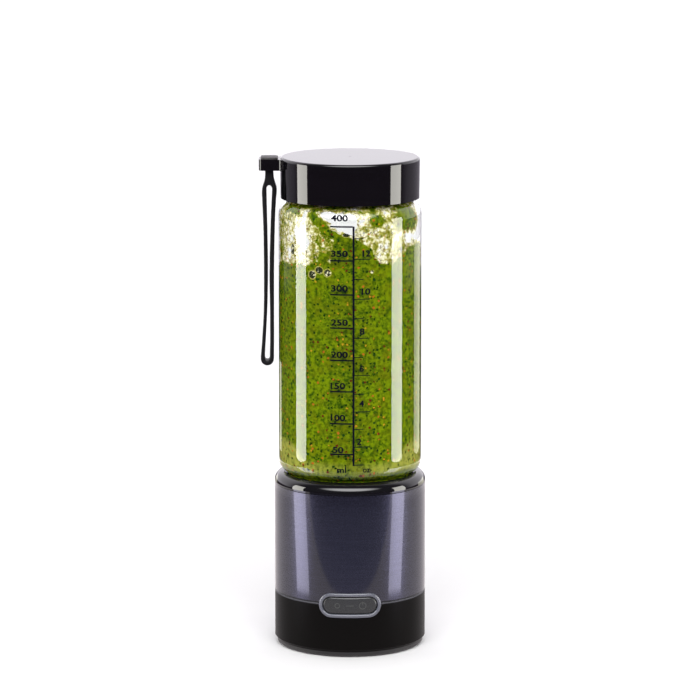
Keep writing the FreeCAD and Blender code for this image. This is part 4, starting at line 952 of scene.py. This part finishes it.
def foamAt(place):  # under 0.5 green drink, over 0.5 foam, and clear glass above that
    foam = foamShape
    across, deep, height, seen = wallPlace(place)
    front = smoothShare(-deep, 0.0, foam["front"])
    ragged, lumpy = (noise.fractal(Vector((across, deep, height + lift)) * scale, 0.9, 2.0, octaves)
                     for lift, scale, octaves in (foam["ragged"], foam["lumpy"]))
    stretched = [value * share for value, share in zip((across, deep, height), foam["streakScales"])]
    streaks = noise.fractal(Vector(stretched), 1.0, 2.0, 3)
    foot = foamFootAt(seen) + foam["footLumps"] * lumpy
    rising = smoothShare(height, foot - foam["footSoft"], foot + foam["footSoft"])
    base, raggedShare, lumpyShare = foam["pale"]
    pale = rising * (base + raggedShare * ragged + lumpyShare * lumpy)
    placed = sum(patch[4] * spotAt(seen, height, *patch[:4]) for patch in foamPatches)
    base, raggedShare = foam["behindPale"]
    behind = smoothShare(height, *foam["behind"]) * (base + raggedShare * ragged)
    value = (pale + placed * foam["patches"]) * front + behind * (1 - front)
    neckArea = smoothShare(height, foam["streaksFrom"], foam["streaksFull"])
    base, streakShare = foam["streaks"]
    return value * (1 - neckArea) + (base + streakShare * streaks) * neckArea


def bubbleAt(place):
    _, deep, height, seen = wallPlace(place)
    if deep > 0:
        return 0.0
    return max(spotAt(seen, height, *bubble) for bubble in wallBubbles)


def makeDrinkFilm():  # what clings to the wall above the drink, with clear glass between
    jar, drink = jarShape, drinkShape
    _, high = shoulders()
    inner = jar["wall"] - drink["filmReach"]
    wall, neck = jar["radius"] - inner, jar["highNeck"] - inner
    highInner = jar["highShoulder"] - inner
    rows = math.ceil((jar["highShoulderZ"] - drink["filmBottom"]) / drink["filmRow"])
    step = (jar["highShoulderZ"] - drink["filmBottom"]) / rows
    points = [(wall, drink["filmBottom"] + step * row) for row in range(rows)]
    points += shoulderArc(high, highInner, neck, 1, 16)
    points += [(neck, points[-1][1] + drink["neckRow"] * row) for row in range(1, drink["neckRows"] + 1)]
    shape = spinOutline(points, drink["filmSteps"], closed=False)
    layer = shape.verts.layers.float.new("foam")
    bubbles = shape.verts.layers.float.new("bubble")
    for vert in shape.verts:
        vert[layer] = foamAt(vert.co)
        vert[bubbles] = bubbleAt(vert.co)
    clear = [face for face in shape.faces
             if sum(vert[layer] for vert in face.verts) / 4 > drink["clearAbove"]]
    bmesh.ops.delete(shape, geom=clear, context="FACES")
    rim = [vert for vert in shape.verts if vert.is_boundary and vert.co.z > (drink["filmBottom"] + 1) * mm]
    for _ in range(drink["rimSmoothing"]):
        bmesh.ops.smooth_vert(shape, verts=rim, factor=0.5, use_axis_x=True, use_axis_y=True, use_axis_z=True)
    for face in shape.faces:
        middle = face.calc_center_median()
        if face.normal.dot(Vector((middle.x, middle.y, 0))) < 0:
            face.normal_flip()
    bmesh.ops.solidify(shape, geom=shape.faces[:], thickness=drink["filmThickness"] * mm)
    finishPiece(shape, "drinkFilm", "jar", drinkMaterial, 60)
    print("drink poured")


# strap
strapShape = {
    "x": -38.1, "width": 8.0, "top": 233.85, "edge": (0.5, 3),   # rounding and its segments
    "flexZ": 225.9, "flexReach": 2.4, "flexRow": 0.4, "flexCut": 1.3,
    "row": 1.4, "endRows": 9, "corner": 70,
    "foot": (135.0, 3.05),      # round ends as height and half size: the loop's foot, the opening's two ends
    "crown": (221.3, 1.9), "opening": (137.2, 1.2),
    "headSize": (8.1, 10.6, 0.8), "headSink": 0.05, "headCorner": (2.2, 8), "headEdge": (0.25, 3),
}
strapStations = (   # height, then the outer sides and the opening's sides
    (234.0, -40.15, -36.05, None, None), (224.4, -40.15, -36.05, None, None),
    (219.4, -41.50, -34.68, -39.50, -36.75), (214.5, -41.45, -34.95, -39.42, -37.00),
    (207.0, -41.15, -35.40, -39.30, -37.35), (198.6, -40.90, -35.68, -39.12, -37.65),
    (179.6, -40.75, -36.05, -38.96, -38.12), (162.0, -40.90, -36.12, -39.32, -37.93),
    (147.0, -41.75, -36.16, -40.08, -37.93), (139.5, -42.38, -36.22, -40.52, -38.10),
)


def betweenStations(height, column):  # smooth curve through the stations
    rows = [row for row in strapStations if row[column] is not None]
    if height >= rows[0][0]:
        return rows[0][column]
    if height <= rows[-1][0]:
        return rows[-1][column]
    upper = next(index for index in range(len(rows) - 1) if rows[index + 1][0] <= height)
    first, second = rows[upper], rows[upper + 1]
    gap = first[0] - second[0]
    share = (first[0] - height) / gap
    slopes = []
    for index in (upper, upper + 1):
        before, after = rows[max(index - 1, 0)], rows[min(index + 1, len(rows) - 1)]
        slopes.append((after[column] - before[column]) / (before[0] - after[0]) * gap)
    square, cube = share ** 2, share ** 3
    return ((2 * cube - 3 * square + 1) * first[column] + (cube - 2 * square + share) * slopes[0]
            + (3 * square - 2 * cube) * second[column] + (cube - square) * slopes[1])


def roundedSides(height, column, ends):  # left and right, drawn in to the round ends
    left, right = betweenStations(height, column), betweenStations(height, column + 1)
    middle, half = (left + right) / 2, (right - left) / 2
    for end, size, way in ends:
        inward = 1 - (end - height) * way / size
        if inward > 0:
            half *= math.sqrt(max(0.0, 1 - inward ** 2))
    return middle - half, middle + half


def heightsBetween(top, topSize, bottom, bottomSize):  # rows, closer in the round ends
    rows, heights = strapShape["endRows"], []
    if topSize:
        heights += [top - topSize * (1 - math.cos(math.pi / 2 * step / rows)) for step in range(rows)]
    else:
        heights.append(top)
    high, low = top - topSize, bottom + bottomSize
    count = round((high - low) / strapShape["row"])
    heights += [high + (low - high) * step / count for step in range(0 if topSize else 1, count)]
    heights += [bottom + bottomSize * (1 - math.sin(math.pi / 2 * step / rows)) for step in range(rows + 1)]
    return heights


def makeStrap():
    strap = strapShape
    foot, crown, opening = strap["foot"], strap["crown"], strap["opening"]
    outer = heightsBetween(strap["top"], 0, *foot)
    inner = heightsBetween(*crown, *opening)
    shape = bmesh.new()
    front = -strap["width"] / 2
    sides = ([], [])
    for heights, column, ends in ((outer, 1, ((*foot, -1),)), (inner, 3, ((*crown, 1), (*opening, -1)))):
        for height in heights:
            for side, across in zip(sides, roundedSides(height, column, ends)):
                side.append(shape.verts.new(Vector((across, front, height)) * mm))
    for side in sides:  # each half of the front: down the outside, then up along the opening
        loop = side[:len(outer)] + side[len(outer):][::-1]
        loop.append(shape.verts.new(Vector((strap["x"], front, strap["top"])) * mm))
        bmesh.ops.contextual_create(shape, geom=loop + closeLoop(shape, loop))
    bmesh.ops.remove_doubles(shape, verts=shape.verts, dist=0.01 * mm)
    bmesh.ops.translate(shape, vec=(0, strap["width"] * mm, 0), verts=extrudeAll(shape))
    bmesh.ops.recalc_face_normals(shape, faces=shape.faces)
    sharp = math.radians(strap["corner"])
    corners = [edge for edge in shape.edges if edge.is_manifold and edge.calc_face_angle() > sharp]
    roundEdges(shape, corners, strap["edge"])
    cut = strap["flexCut"] * strap["flexReach"]
    for step in range(round(2 * cut / strap["flexRow"]) + 1):  # rows across the part that bends
        height = strap["flexZ"] - cut + strap["flexRow"] * step
        cutAcross(shape, (0, 0, height * mm), (0, 0, 1))
    piece = finishPiece(shape, "strapLoop", None, materials["strap_silicone"], 50)
    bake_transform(piece)
    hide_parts("strap_loop")


def makeStrapHead():  # the flat head that keeps the strap in its lug
    strap = strapShape
    long, wide, thick = strap["headSize"]
    bottom = strap["top"] - strap["headSink"]
    shape = bmesh.new()
    made = bmesh.ops.create_cube(shape, size=1.0)["verts"]
    bmesh.ops.scale(shape, vec=(long * mm, wide * mm, thick * mm), verts=made)
    bmesh.ops.translate(shape, vec=Vector((strap["x"], 0, bottom + thick / 2)) * mm, verts=made)
    uprights = [edge for edge in shape.edges
                if abs(edge.verts[0].co.z - edge.verts[1].co.z) > 0.1 * mm]
    roundEdges(shape, uprights, strap["headCorner"])
    topEdges = [edge for edge in shape.edges
                if min(vert.co.z for vert in edge.verts) > (bottom + thick - 0.01) * mm]
    roundEdges(shape, topEdges, strap["headEdge"])
    piece = finishPiece(shape, "strapHead", "lid", headMaterial, 40)
    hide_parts("strap_head")
    print("strap made")


# button
buttonShape = {
    "z": 25.5, "bodyRadius": 36.0, "roundSteps": 20, "straightSteps": 14,
    # half length, half height, and the section's places: in from the outline, out from the body
    "ring": (14.75, 5.9, (
        (0.0, -0.5), (0.0, 0.30), (0.04, 0.45), (0.14, 0.60), (0.30, 0.71), (0.50, 0.78), (0.75, 0.82),
        (1.0, 0.80), (1.22, 0.74), (1.38, 0.66), (1.50, 0.56), (1.6, 0.42), (1.67, 0.22), (1.7, 0.0),
        (1.7, -0.5))),
    "cap": (12.75, 3.9, (
        (0.0, -0.8), (0.0, 0.08), (0.05, 0.17), (0.50, 0.40), (0.62, 0.44), (0.8, 0.45), (1.4, 0.45),
        (2.1, 0.45), (2.9, 0.45), (3.9, 0.45))),
    "markProud": 0.46, "markWidth": 0.35, "markSteps": 40,
    "markRings": ((6.0, 1.55), (-6.0, 1.1)), "markBar": (6.0, 0.3, 2.0), "markLine": 1.8,
}


def pillPoints(long, tall, inset):  # outline of a bar with round ends, in the plane of the button's face
    button = buttonShape
    straight = long - tall
    radius = tall - inset
    steps, along = button["roundSteps"], button["straightSteps"]
    points = []
    for side in (1, -1):
        for step in range(steps):
            angle = math.pi * step / steps - math.pi / 2
            points.append((side * (straight + radius * math.cos(angle)), side * radius * math.sin(angle)))
        for step in range(along):
            points.append((side * (straight - 2 * straight * step / along), side * radius))
    return points


def onBody(across, height, proud):  # a place on the round body, standing out by a given amount
    radius = buttonShape["bodyRadius"] + proud
    return Vector((across, -math.sqrt(radius ** 2 - across ** 2), buttonShape["z"] + height)) * mm


def makePill(long, tall, section, name, body, node):
    shape = bmesh.new()
    before = None
    for inset, proud in section:
        outline = pillPoints(long, tall, inset)
        edges = closeLoop(shape, [shape.verts.new(onBody(*place, proud)) for place in outline])
        if before:
            bmesh.ops.bridge_loops(shape, edges=before + edges)
        before = edges
    bmesh.ops.remove_doubles(shape, verts=shape.verts, dist=0.002 * mm)
    bmesh.ops.recalc_face_normals(shape, faces=shape.faces)
    outward = sum(face.normal.y * face.calc_area() for face in shape.faces)
    if outward > 0:
        bmesh.ops.reverse_faces(shape, faces=shape.faces)
    piece = finishPiece(shape, name, body, materials[slots[node]], 40)
    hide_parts(node)


def makeButtonMarks():  # plain faint signs: a ring with a bar, a short line, a small ring
    button = buttonShape
    shape = bmesh.new()
    half = button["markWidth"] / 2
    for middle, radius in button["markRings"]:
        rings = []
        for reach in (radius - half, radius + half):
            made = bmesh.ops.create_circle(shape, segments=button["markSteps"], radius=reach)["verts"]
            bmesh.ops.translate(shape, vec=(middle, 0, 0), verts=made)
            rings += list({edge for vert in made for edge in vert.link_edges})
        bmesh.ops.bridge_loops(shape, edges=rings)
    middle, low, high = button["markBar"]
    addStroke(shape, middle - half, middle + half, low, high)
    addStroke(shape, -button["markLine"], button["markLine"], -half, half)
    for vert in shape.verts:
        vert.co = onBody(vert.co.x, vert.co.y, button["markProud"])
    thicken(shape, scalePrint["thick"])
    finishPiece(shape, "buttonMarks", "button", markMaterial, scalePrint["flatAngle"])


def makeButton():
    button = buttonShape
    makePill(*button["ring"], "buttonRing", "base", "button_bezel")
    makePill(*button["cap"], "buttonFace", "button", "button_cap")
    makeButtonMarks()
    print("button made")


for make in (makeCamera, makeWorld, makePanels, makeFloor, dressFrame, makeJar, makeScale, makeDrinkBody,
             makeDrinkFilm, makeStrap, makeStrapHead, makeButton):
    make()
